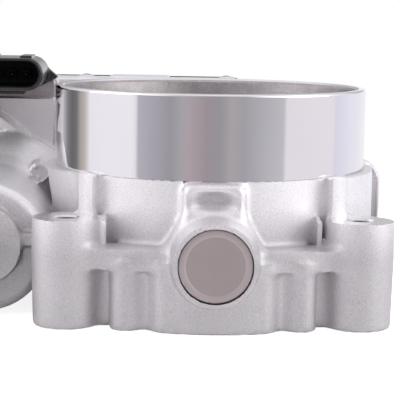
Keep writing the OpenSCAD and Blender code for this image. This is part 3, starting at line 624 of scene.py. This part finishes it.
def surface(name, light, dark, rough, grain, patch, metal, bump, depth, stretch=None, coat=0.0,
            speckle=0.0, low=None, spots=()):
    """A grained surface: patches of two tones, grain in the roughness, and a fine bump.

    grain, patch and depth are in mm. low is (shade, Z of full shade, Z of none): painted shade, darker
    towards the bottom. Each of spots is (centre, radii, shade): a place where the tone is darker.
    """
    material, tree, shader, place = nodes_of(name)
    shader.inputs["Metallic"].default_value = metal
    shader.inputs["Coat Weight"].default_value = coat
    tone = noise(tree, place, patch, 4.0, 0.6, stretch)
    colour = mixed(tree, mapped(tree, tone, 0, 1), dark, light)
    fine = noise(tree, place, grain, 4.0, 0.7, stretch)
    if speckle:
        colour = scaled(tree, colour, mapped(tree, fine, 1 - speckle, 1 + speckle))
    if low:
        shade, full_z, none_z = low
        apart = tree.nodes.new("ShaderNodeSeparateXYZ")
        tree.links.new(place, apart.inputs[0])
        colour = scaled(tree, colour, mapped(tree, apart.outputs["Z"], shade, 1, full_z * MM, none_z * MM))
    for centre, radii, shade in spots:
        offset = vector_math(tree, "SUBTRACT", place, [c * MM for c in centre])
        share = vector_math(tree, "MULTIPLY", offset, [1 / (r * MM) for r in radii])
        reach = vector_math(tree, "LENGTH", share)
        colour = scaled(tree, colour, mapped(tree, reach, shade, 1, *SPOT_FADE))
    tree.links.new(colour, shader.inputs["Base Color"])
    tree.links.new(mapped(tree, fine, rough - ROUGH_SPREAD, rough + ROUGH_SPREAD), shader.inputs["Roughness"])
    bumped(tree, shader, fine, bump, depth)
    return material


# Painted shade in the tower's shallow pocket.
POCKET_PAINTED_SHADE = ((POCKET_X, -56, POCKET_Z), (7.2, 7, 2.9), 0.62)
GATE_SPOT = ((GATE_X, GATE_FRONT, GATE_Z), (3.7, 2.2, 3.7), 0.62)
# Painted shade on the motor's front, between its raised end and its rounded edge.
MOTOR_FRONT_PAINTED_SHADE = ((MOTOR_X, -38.5, AXIS_Z), (23, 3.6, 23), 0.70)
# The cast skin is darker towards the bottom, from Z 37 down to Z 22 (low): painted shade.
CAST = surface("cast_aluminium", (0.98, 0.96, 0.975), (0.92, 0.90, 0.915), 0.48,
    grain=0.40, patch=14, metal=0.82, bump=0.9, depth=0.09, speckle=0.18, low=(0.70, 22, 37),
    spots=[POCKET_PAINTED_SHADE, GATE_SPOT, MOTOR_FRONT_PAINTED_SHADE])
# A darker copy of the cast aluminium: grain as cast, and a darker colour that is painted shade, for the ring's
# bore, the bolt holes and the wall behind the plug.
CAST_SHADED = surface("cast_inside", (0.56, 0.53, 0.535), (0.42, 0.40, 0.40), 0.44,
    grain=0.5, patch=6, metal=1.0, bump=0.8, depth=0.1, speckle=0.22)
MACHINED = surface("machined_aluminium", (0.88, 0.88, 0.89), (0.80, 0.80, 0.81), 0.24,
    grain=0.25, patch=12, metal=1.0, bump=0.12, depth=0.02)
PLATE = surface("plate_metal", (0.66, 0.60, 0.47), (0.56, 0.50, 0.38), 0.3,
    grain=0.4, patch=12, metal=1.0, bump=0.15, depth=0.02, stretch=(1, 6, 1))
STEEL = surface("ground_steel", (0.74, 0.74, 0.75), (0.62, 0.62, 0.64), 0.26,
    grain=0.3, patch=8, metal=1.0, bump=0.15, depth=0.02, stretch=(1, 0.15, 1))
SPRING = surface("spring_steel", (0.34, 0.33, 0.32), (0.22, 0.215, 0.21), 0.35,
    grain=0.4, patch=5, metal=1.0, bump=0.2, depth=0.02)
ZINC = surface("zinc_plate", (0.70, 0.71, 0.73), (0.58, 0.59, 0.62), 0.33,
    grain=0.6, patch=7, metal=1.0, bump=0.2, depth=0.02)
SHEET = surface("pressed_sheet", (0.62, 0.62, 0.63), (0.52, 0.52, 0.53), 0.36,
    grain=0.5, patch=12, metal=1.0, bump=0.3, depth=0.03, stretch=(0.3, 1, 3))
LAMINATION = surface("lamination_steel", (0.26, 0.27, 0.29), (0.16, 0.165, 0.18), 0.42,
    grain=0.5, patch=1.0, metal=1.0, bump=0.5, depth=0.05, stretch=(1, 3, 1))
COPPER = surface("winding_copper", (0.72, 0.33, 0.15), (0.48, 0.19, 0.08), 0.3,
    grain=0.6, patch=1.6, metal=1.0, bump=0.6, depth=0.1, stretch=(1, 0.4, 1))
BRASS = surface("brass", (0.78, 0.60, 0.30), (0.62, 0.45, 0.20), 0.28,
    grain=0.4, patch=6, metal=1.0, bump=0.2, depth=0.02)
# A lighter, more metallic copy of the cap's colour for its rolled rim: the lighter colour is a painted highlight.
CAP_RIM_LIT = surface("cap_edge", (0.52, 0.452, 0.452), (0.48, 0.415, 0.415), 0.42,
    grain=0.28, patch=9, metal=0.5, bump=0.12, depth=0.02)
# Dark tin for the contact blades, far darker than real tin: painted shade inside the socket.
TIN_SHADED = surface("dark_tin", (0.22, 0.21, 0.2), (0.14, 0.13, 0.13), 0.4,
    grain=0.3, patch=3, metal=1.0, bump=0.2, depth=0.02)
SCREW = surface("black_zinc", (0.075, 0.075, 0.08), (0.035, 0.035, 0.04), 0.36,
    grain=0.4, patch=3, metal=0.8, bump=0.3, depth=0.03)
CAP = surface("phosphated_cap", (0.42, 0.36, 0.362), (0.395, 0.337, 0.34), 0.5,
    grain=0.28, patch=9, metal=0.35, bump=0.12, depth=0.02)
BLACK = surface("glass_filled_nylon", (0.010, 0.010, 0.013), (0.005, 0.005, 0.007), 0.30,
    grain=0.45, patch=6, metal=0.0, bump=0.25, depth=0.03, coat=0.6)
# A matte copy of the black plastic for the socket's inside: its darker colour is painted shade.
BLACK_SHADED = surface("moulded_socket", (0.006, 0.006, 0.007), (0.003, 0.003, 0.004), 0.7,
    grain=0.45, patch=6, metal=0.0, bump=0.4, depth=0.04)
NYLON = surface("natural_nylon", (0.72, 0.68, 0.57), (0.62, 0.575, 0.46), 0.45,
    grain=0.6, patch=8, metal=0.0, bump=0.2, depth=0.03)
FERRITE = surface("ferrite", (0.05, 0.05, 0.054), (0.025, 0.025, 0.028), 0.6,
    grain=0.4, patch=4, metal=0.0, bump=0.6, depth=0.06)
RUBBER = surface("black_rubber", (0.022, 0.022, 0.023), (0.012, 0.012, 0.012), 0.62,
    grain=0.5, patch=4, metal=0.0, bump=0.4, depth=0.04)
SILICONE = surface("red_silicone", (0.42, 0.06, 0.035), (0.30, 0.035, 0.02), 0.5,
    grain=0.5, patch=4, metal=0.0, bump=0.3, depth=0.03)
BOARD = surface("circuit_board", (0.02, 0.13, 0.05), (0.012, 0.08, 0.03), 0.35,
    grain=0.5, patch=3, metal=0.0, bump=0.3, depth=0.03, coat=0.4)


def polished_ring():
    """Turned and polished aluminium: fine rings of tool marks round a near mirror."""
    material, tree, shader, place = nodes_of("polished_aluminium")
    shader.inputs["Metallic"].default_value = 1.0
    tone = noise(tree, place, 20, 2.0, 0.5, (1, 1, 0.4))
    tree.links.new(mixed(tree, mapped(tree, tone, 0, 1), (0.86, 0.855, 0.87), (0.90, 0.89, 0.91)),
                   shader.inputs["Base Color"])
    lines = noise(tree, place, 0.5, 2.0, 0.5, (0.01, 0.01, 4))
    tree.links.new(mapped(tree, lines, 0.03, 0.07), shader.inputs["Roughness"])
    bumped(tree, shader, lines, 0.03, 0.008)
    return material


POLISHED = polished_ring()
OF_SLOT = {
    "cast_aluminium": CAST, "cap_zinc": CAP, "bearing_steel": STEEL, "seal_rubber": RUBBER,
    "shaft_steel": STEEL, "plate_brass": PLATE, "screw_steel": SCREW, "gear_nylon": NYLON,
    "magnet_ferrite": FERRITE, "spring_steel": SPRING, "motor_zinc": ZINC,
    "lamination_steel": LAMINATION, "winding_copper": COPPER, "brass": BRASS,
    "black_plastic": BLACK, "cover_metal": SHEET, "board_green": BOARD, "seal_red": SILICONE,
}
SLOT_OF = {s["node"]: s["material_slot"] for s in frame["record"]["subparts"]}


def dress(obj, *materials, slot=None):
    obj.data.materials.clear()
    for material in materials:
        obj.data.materials.append(material)


def face_columns(obj):
    """The centres of the faces in mm, and their normals, each as three columns."""
    columns = []
    for key in ("center", "normal"):
        values = np.zeros(len(obj.data.polygons) * 3)
        obj.data.polygons.foreach_get(key, values)
        columns.append(values.reshape(-1, 3).T)
    return columns[0] / MM, columns[1]


def paint(obj, material_index):
    obj.data.polygons.foreach_set("material_index", np.asarray(material_index).astype(np.int32))


for name, node in NODES.items():
    dress(node, OF_SLOT[SLOT_OF[name]])
for name, width in (("throttle_plate", 0.25), ("plate_screws", 0.15), ("throttle_shaft", 0.2)):
    NODES[name].modifiers.new("weld", "WELD").merge_threshold = 0.005 * MM
    bevel = NODES[name].modifiers.new("bevel", "BEVEL")
    bevel.width = width * MM
    bevel.segments = 2
    bevel.limit_method = "ANGLE"
    bevel.angle_limit = math.radians(40)


# ------------------------------------------------------------------ housing pieces
SPLIT_Y = 52      # where the casting's mesh is parted into two pieces
PLUG_RECESS_Z, PLUG_RECESS_X = 62.9, -53


def casting_materials(obj):
    """0 for the cast skin, 1 for machined faces, and 2, painted shade, for the bolt holes and the wall behind the
    plug.
    """
    (x, y, z), (_, _, up) = face_columns(obj)
    bolt = to_bolt(x, y)
    pillar_top = (np.abs(z - PILLAR_H) < 0.1) & (up > 0.9) & (np.abs(x) > 33)
    machined = (z < 0.05) | pillar_top | (np.hypot(x, y) < BORE_R + 0.1) | (y > RIM_Y - 0.05)
    machined |= (np.hypot(x, z - AXIS_Z) < CAP_R + 0.05) & (y < -50)
    machined |= (bolt < BOLT_R + 0.7) & (z < PILLAR_H)
    # Painted shade: the wall under the plug and the inside of the bolt holes take the darker cast colour.
    painted_shade_behind_plug = (z > PLUG_RECESS_Z) & (x < PLUG_RECESS_X) & (y < SPLIT_Y)
    painted_shade_in_holes = (bolt < BOLT_R + 0.05) & (z < PILLAR_H - 0.5)
    return np.where(painted_shade_behind_plug | painted_shade_in_holes, 2, machined)


points, quads = contour(housing, (-104, -69, -2.05), (67, 81, 73), 0.95)
points = np.clip(points, (CASE_LEFT, BOSS_Y, 0), (FAR, RIM_Y, FAR))
behind = points[quads].mean(1)[:, 1] > SPLIT_Y
for piece, mine in (("housing_casting", quads[~behind]), ("housing_gear_case", quads[behind])):
    used, index = np.unique(mine, return_inverse=True)
    obj = mesh_object(piece, points[used], index.reshape(mine.shape), "housing")
    dress(obj, CAST, MACHINED, CAST_SHADED, slot="cast_aluminium")
    paint(obj, casting_materials(obj))
    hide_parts("housing")

# The ring's outline: a groove at its foot, its edge at the top, from outside to inside, and the bore.
RING_FOOT = [(-0.7, 0), (-0.7, 0.4), (0, 0.5), (0, 0.7)]
RING_EDGE = [(0, -0.9), (0, -0.75), (-0.1, -0.4), (-0.35, -0.1), (-0.7, 0), (-0.8, 0), (-2.0, 0), (-2.1, 0),
             (-2.35, -0.15), (-2.6, -0.6)]
RING_INSIDE = [(MOUTH_R, RING_Z1 - 1.3), (BORE_R, RING_Z0 + 1.6), (BORE_R, RING_Z0)]
ring_outline = [(RING_R + r, RING_Z0 + h) for r, h in RING_FOOT]
ring_outline += [(RING_R + r, RING_Z1 + h) for r, h in RING_EDGE] + RING_INSIDE
ring = lathe("inlet_ring", ring_outline, "housing", (0, 0, 0), "z", 256)
dress(ring, POLISHED, CAST_SHADED, slot="cast_aluminium")
(x, y, z), _ = face_columns(ring)
# The bore inside the ring takes the darker cast colour: as-cast grain, with painted shade.
paint(ring, (np.hypot(x, y) < RING_R - 2.55) & (z > RING_Z0 + 0.1))
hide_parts("housing")

# ------------------------------------------------------------------ end cap
CAP_Y, CAP_FLAT_R = -65.1, 8.7
# Radius and height: the flat front, a low rolled rim, the skirt, and the inside.
PRESSED = [(0, CAP_Y), (0.4, CAP_Y), (8.5, CAP_Y), (8.65, -65.12), (9.0, -65.32), (9.3, -65.42),
           (9.5, -65.45), (10.2, -65.42), (10.3, -65.4), (10.7, -65.15), (10.88, -64.8), (10.9, -64.6),
           (10.9, -60), (9.5, -60), (9.5, -62), (0, -62)]
cap = lathe("front_cap", PRESSED, "housing", (0, 0, AXIS_Z), "y", 128)
dress(cap, CAP, CAP_RIM_LIT, slot="cap_zinc")
(x, _, z), _ = face_columns(cap)
# The rolled rim outside the flat front takes the lighter copy of the cap's colour: a painted highlight.
paint(cap, np.hypot(x, z - AXIS_Z) > CAP_FLAT_R)
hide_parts("front_end_cap")

# ------------------------------------------------------------------ rear cover and its screws
SHEET_Y = COVER_Y + 1.6
COVER_FACE = SHEET_Y + 3
EAR_R, EAR_CLEARANCE = 4.3, 6.2
BEAD_Z, BEAD_MIDDLE_X, BEAD_HALF_L, BEAD_HALF_W = (20, 35, 50), -52, 28, 2.2


def cover(p):
    """A pressed sheet: a flat edge with ears, and a middle with beads and a disc, raised and hollow."""
    x, y, z = p.T
    ears, clear = np.full(len(x), FAR), np.full(len(x), FAR)
    for cx, cz in COVER_SCREWS:
        away = np.hypot(x - cx, z - cz)
        ears, clear = np.minimum(ears, away - EAR_R), np.minimum(clear, away - EAR_CLEARANCE)
    d = meet(join(case_flat(x, z), ears, 1.5), span(y, COVER_Y, SHEET_Y), 0.4)
    raised = meet(cut(case_flat(x, z, 6.5), clear, 1.5), span(y, COVER_Y, COVER_FACE), 1.3)
    d = join(d, raised, 0.8)
    for level in BEAD_Z:
        reach = np.hypot(np.maximum(np.abs(x - BEAD_MIDDLE_X) - BEAD_HALF_L, 0), z - level)
        d = join(d, meet(reach - BEAD_HALF_W, span(y, SHEET_Y, COVER_FACE + 0.8), 0.8), 0.8)
    d = join(d, rod(x, z - AXIS_Z, y, 14, COVER_Y, COVER_FACE + 1.1, 0.9), 0.9)
    d = cut(d, meet(cut(case_flat(x, z, 8), clear - 1.6), y - COVER_FACE + 1.6), 0.4)
    return np.maximum(d, -meet(np.hypot(x, z - AXIS_Z) - 12.4, y - COVER_FACE + 0.5))


points, quads = contour(cover, (-104, 78.8, -6.5), (31, 87, 72), 0.8)
points = np.clip(points, (CASE_LEFT, COVER_Y, CASE_BOTTOM), (FAR, high_mm("gear_cover")[1], FAR))
sheet = mesh_object("rear_cover", points, quads, "housing")
dress(sheet, SHEET, slot="cover_metal")
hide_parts("gear_cover")

# Radius, height and lobes: the tip, the shank, the pan head, and the six-lobe recess in it.
SHANK = [(0, 68.6), (1.5, 68.6), (2, 69.2), (2, SHEET_Y)]
PAN_HEAD = [(4.5, 0), (4.65, 0.2), (4.65, 0.9), (4.2, 1.6), (3.5, 2.2), (2.6, 2.5), (2.2, 2.5)]
RECESS = [(1.8, 2.45, 0.16), (1.65, 0.9, 0.16), (0, 0.7, 0)]
screw_outline = SHANK + [(r, SHEET_Y + h) for r, h in PAN_HEAD]
screw_outline += [(r, SHEET_Y + h, lobes) for r, h, lobes in RECESS]
for i, (cx, cz) in enumerate(COVER_SCREWS):
    screw = lathe(f"cover_screw_{i + 1}", screw_outline, "housing", (cx, 0, cz), "y", 48)
    dress(screw, SCREW, slot="screw_steel")
    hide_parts("cover_screws")

# ------------------------------------------------------------------ connector
PLUG_X, PLUG_Z, PLUG_W, PLUG_H, PLUG_Y = -76.3, 72.2, 39.4, 11.2, 19
PLUG_LOW, PLUG_HIGH = PLUG_Z - PLUG_H / 2, PLUG_Z + PLUG_H / 2
SOCKET_BACK = 41
# The right half of the flange, as distance from the plug's middle and Z.
FLANGE = [(23.1, 70.5), (16.8, 75.9), (15.8, 76.8), (-1, 76.8), (-1, 64), (11, 64), (12, 65.3), (18.2, 67.6),
          (22.3, 69.7)]
KEYS, LOW_RIBS = (-13.7, 13.7), (-7.5, 8)
CONTACTS = [(i - 2.5) * 5 for i in range(6)]
CONTACT_X, CONTACT_Z, CONTACT_HALF = -76, 71.6, 0.5
CONTACT_TIP, CONTACT_TAPER, CONTACT_BACK = 33, 1.2, 46


def connector(p):
    """The plug socket: a flat shell on a flange, with a latch ramp, keys, ribs, and contact blocks inside."""
    x, y, z = p.T
    u, w, low, high = x - PLUG_X, PLUG_W / 2, PLUG_LOW, PLUG_HIGH
    d = meet(rounded(u, z, -w, w, low, high, 5.5), span(y, PLUG_Y, 47), 1.0)
    d = join(d, meet(outline(np.abs(u), z, FLANGE), span(y, 44.4, 48.4), 0.35), 0.7)
    d = join(d, box(u, y, z, (-10, 46, 64.3), (10, 57.2, 66.8), 0.3), 0.3)
    ramp = box(u, y, z, (-4, 22, high - 2), (4.5, 30, high + 1), 0.3)
    d = join(d, meet(ramp, (23.6 - y) * 0.35 + (z - high) * 0.9), 0.3)
    for key in KEYS:
        d = join(d, box(u, y, z, (key - 2, 21.4, high - 2), (key + 2, 37, high + 0.8), 0.35), 0.4)
    for rib in LOW_RIBS:
        d = join(d, box(u, y, z, (rib - 0.6, 30, low - 0.6), (rib + 0.6, 45, high - 1), 0.2), 0.5)
    hole = rounded(u, z, -w + 1.5, w - 1.5, low + 1.2, high - 0.95, 4.4)
    d = cut(d, meet(hole, span(y, 10, SOCKET_BACK), 0.5), 0.25)
    for pin in CONTACTS:
        d = join(d, box(u, y, z, (pin - 1.5, 39.6, PLUG_Z - 2), (pin + 1.5, 42, PLUG_Z + 1), 0.3), 0.3)
    return d


points, quads = contour(connector, (-100.2, 17.8, 62.5), (-51.5, 58.3, 80.5), 0.42)
shell = mesh_object("connector_body", points, quads, "housing")
dress(shell, BLACK, BLACK_SHADED, slot="black_plastic")
(x, y, z), _ = face_columns(shell)
sunk = rounded(x - PLUG_X, z, 1.1 - PLUG_W / 2, PLUG_W / 2 - 1.1, PLUG_LOW + 1.0, PLUG_HIGH - 0.7, 4.4) < 0
# The faces deep in the socket take the matte, darker black: painted shade.
paint(shell, sunk & (y < SOCKET_BACK + 1.5))
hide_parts("connector_shell")


def contact_blades():
    """Square blades, each with a four-sided point, all in one piece."""
    vertices, faces = [], []
    rings = ((CONTACT_TIP, CONTACT_HALF * 0.3), (CONTACT_TIP + CONTACT_TAPER, CONTACT_HALF),
             (CONTACT_BACK, CONTACT_HALF))
    for offset in CONTACTS:
        base, cx, cz = len(vertices), CONTACT_X + offset, CONTACT_Z
        for y, r in rings:
            vertices += [(cx - r, y, cz - r), (cx + r, y, cz - r), (cx + r, y, cz + r), (cx - r, y, cz + r)]
        for step in (0, 4):
            for i in range(4):
                j = (i + 1) % 4
                faces.append((base + step + i, base + step + 4 + i, base + step + 4 + j, base + step + j))
        faces += [(base, base + 1, base + 2, base + 3), (base + 11, base + 10, base + 9, base + 8)]
    return mesh_object("contact_pins", vertices, faces, "housing")


pins = contact_blades()
# The blades take the dark tin colour: painted shade inside the socket.
dress(pins, TIN_SHADED, slot="brass")
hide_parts("connector_pins")

# ------------------------------------------------------------------ camera and floor
LENS, SENSOR = 130.977, 36      # mm
CAMERA_AT = Vector((-17.78, -479.57, 95.66)) * MM
DOWN, RIGHT, ROLL = math.radians(7.51), math.radians(1.78), math.radians(0.96)
forward = Vector((math.sin(RIGHT) * math.cos(DOWN), math.cos(RIGHT) * math.cos(DOWN), -math.sin(DOWN)))
side = forward.cross(Vector((0, 0, 1))).normalized()
above = side.cross(forward)
turned_side = side * math.cos(ROLL) + above * math.sin(ROLL)
turned_up = above * math.cos(ROLL) - side * math.sin(ROLL)
camera = bpy.data.cameras.new("camera")
camera.sensor_width = SENSOR
camera.lens = LENS
camera.clip_start = 0.01
eye = bpy.data.objects.new("camera", camera)
axes = Matrix((turned_side, turned_up, -forward)).transposed()
eye.matrix_world = Matrix.Translation(CAMERA_AT) @ axes.to_4x4()
bpy.context.scene.collection.objects.link(eye)
bpy.context.scene.camera = eye

FLOOR_R, FLOOR_Z, FLOOR_SIDES = 0.24, -0.2 * MM, 96      # m
angles = [i * 2 * math.pi / FLOOR_SIDES for i in range(FLOOR_SIDES)]
floor_mesh = bpy.data.meshes.new("floor")
rim = [(FLOOR_R * math.cos(a), FLOOR_R * math.sin(a), FLOOR_Z) for a in angles]
floor_mesh.from_pydata(rim, [], [list(range(FLOOR_SIDES))])
floor = bpy.data.objects.new("floor", floor_mesh)
bpy.context.scene.collection.objects.link(floor)
white, tree, shader, _ = nodes_of("floor_white")
shader.inputs["Base Color"].default_value = (0.9, 0.9, 0.9, 1)
shader.inputs["Roughness"].default_value = 0.9
shader.inputs["Emission Color"].default_value = (0.85, 0.85, 0.85, 1)
path = tree.nodes.new("ShaderNodeLightPath")
tree.links.new(path.outputs["Is Camera Ray"], shader.inputs["Emission Strength"])
floor.data.materials.append(white)

# ------------------------------------------------------------------ light
# A light tent. Each stop is a direction round the compass and a colour. Directions are in degrees to the
# right of the front.
SKY = [
    (-180, (0.50, 0.49, 0.51)), (-140, (0.60, 0.58, 0.62)), (-105, (0.95, 0.93, 0.97)),
    (-80, (1.20, 1.17, 1.22)), (-48, (1.25, 1.22, 1.27)), (-28, (0.56, 0.545, 0.57)),
    (0, (0.34, 0.33, 0.35)), (26, (0.42, 0.41, 0.43)), (45, (1.50, 1.47, 1.51)),
    (75, (1.45, 1.42, 1.46)), (105, (0.95, 0.93, 0.97)), (140, (0.60, 0.59, 0.62)),
    (180, (0.50, 0.49, 0.51)),
]
# Low down, the panels and gaps that the polished ring mirrors.
PANELS = [
    (-180, (0.40, 0.40, 0.41)), (-162, (0.45, 0.44, 0.46)), (-150, (0.75, 0.74, 0.78)),
    (-142, (0.62, 0.61, 0.64)), (-131, (0.24, 0.235, 0.25)), (-123, (0.15, 0.145, 0.155)),
    (-116, (0.19, 0.185, 0.19)), (-111.5, (0.42, 0.385, 0.35)), (-106.5, (0.52, 0.485, 0.46)),
    (-104, (0.60, 0.58, 0.59)), (-99.5, (0.90, 0.87, 0.92)), (-60, (0.92, 0.89, 0.94)),
    (-56.5, (0.84, 0.81, 0.86)), (-55.5, (0.50, 0.48, 0.54)), (-30, (0.35, 0.34, 0.37)),
    (-22, (0.42, 0.41, 0.43)), (-17, (0.46, 0.39, 0.42)), (-4, (0.36, 0.32, 0.345)),
    (6, (0.345, 0.33, 0.355)), (13, (0.44, 0.405, 0.42)), (22, (0.39, 0.38, 0.41)),
    (34, (0.47, 0.46, 0.49)), (52.5, (0.58, 0.565, 0.61)), (54.5, (0.84, 0.80, 0.85)),
    (99, (0.85, 0.81, 0.86)), (102, (0.76, 0.74, 0.85)), (122, (0.86, 0.85, 0.94)),
    (150, (0.92, 0.92, 0.95)), (174, (0.92, 0.92, 0.95)), (180, (0.40, 0.40, 0.41)),
]
ROOF = (0.85, 0.83, 0.87)
# Heights between which one blends into the next, as the sine of the elevation.
PANELS_TO_SKY, SKY_TO_ROOF = (0.06, 0.16), (0.4, 0.85)


def compass_ramp(nodes, links, share, stops_at):
    ramp = nodes.new("ShaderNodeValToRGB")
    stops = ramp.color_ramp.elements
    while len(stops) > 1:
        stops.remove(stops[-1])
    for i, (degrees, colour) in enumerate(stops_at):
        position = (degrees + 180) / 360
        stop = stops[0] if i == 0 else stops.new(position)
        stop.position = position
        stop.color = (*colour, 1)
    links.new(share, ramp.inputs[0])
    return ramp.outputs[0]


def height_blend(nodes, links, height, between, lower):
    """A mix from lower into its second colour, which the caller sets or links."""
    rise = nodes.new("ShaderNodeMapRange")
    rise.interpolation_type = "SMOOTHSTEP"
    rise.inputs["From Min"].default_value, rise.inputs["From Max"].default_value = between
    links.new(height, rise.inputs["Value"])
    mix = nodes.new("ShaderNodeMix")
    mix.data_type = "RGBA"
    links.new(rise.outputs[0], mix.inputs[0])
    links.new(lower, mix.inputs[6])
    return mix


def compass_share(nodes, links, x, y):
    """How far round a direction is from the back through the left, 0 to 1, with the front at a half."""
    back = nodes.new("ShaderNodeMath")
    back.operation = "MULTIPLY"
    back.inputs[1].default_value = -1
    links.new(y, back.inputs[0])
    angle = nodes.new("ShaderNodeMath")
    angle.operation = "ARCTAN2"
    links.new(x, angle.inputs[0])
    links.new(back.outputs[0], angle.inputs[1])
    share = nodes.new("ShaderNodeMapRange")
    share.inputs["From Min"].default_value = -math.pi
    share.inputs["From Max"].default_value = math.pi
    links.new(angle.outputs[0], share.inputs["Value"])
    return share.outputs[0]


def studio(tree):
    """The light tent, with a white backdrop that only the camera sees."""
    nodes, links = tree.nodes, tree.links
    nodes.clear()
    place = nodes.new("ShaderNodeTexCoord")
    apart = nodes.new("ShaderNodeSeparateXYZ")
    links.new(place.outputs["Generated"], apart.inputs[0])
    share = compass_share(nodes, links, apart.outputs["X"], apart.outputs["Y"])
    panels = compass_ramp(nodes, links, share, PANELS)
    walls = height_blend(nodes, links, apart.outputs["Z"], PANELS_TO_SKY, panels)
    links.new(compass_ramp(nodes, links, share, SKY), walls.inputs[7])
    roof = height_blend(nodes, links, apart.outputs["Z"], SKY_TO_ROOF, walls.outputs[2])
    roof.inputs[7].default_value = (*ROOF, 1)
    tent = nodes.new("ShaderNodeBackground")
    links.new(roof.outputs[2], tent.inputs["Color"])
    backdrop = nodes.new("ShaderNodeBackground")
    backdrop.inputs["Color"].default_value = (1, 1, 1, 1)
    path = nodes.new("ShaderNodeLightPath")
    choose = nodes.new("ShaderNodeMixShader")
    links.new(path.outputs["Is Camera Ray"], choose.inputs[0])
    links.new(tent.outputs[0], choose.inputs[1])
    links.new(backdrop.outputs[0], choose.inputs[2])
    out = nodes.new("ShaderNodeOutputWorld")
    links.new(choose.outputs[0], out.inputs["Surface"])


world = bpy.data.worlds.new("studio")
bpy.context.scene.world = world
world.use_nodes = True
studio(world.node_tree)


LIGHT_SIDE = 0.6      # m


def area_light(name, at, towards, power):
    light = bpy.data.lights.new(name, "AREA")
    light.shape = "RECTANGLE"
    light.size, light.size_y = LIGHT_SIDE, LIGHT_SIDE
    light.energy = power
    obj = bpy.data.objects.new(name, light)
    obj.location = at
    obj.rotation_euler = (Vector(towards) - Vector(at)).to_track_quat("-Z", "Y").to_euler()
    bpy.context.scene.collection.objects.link(obj)


area_light("key_light", (-0.75, -0.15, 0.35), (-0.02, 0, 0.04), 0.9)
area_light("fill_light", (0.75, -0.25, 0.35), (0.02, 0, 0.04), 1.3)
bpy.context.scene.view_settings.view_transform = "Standard"
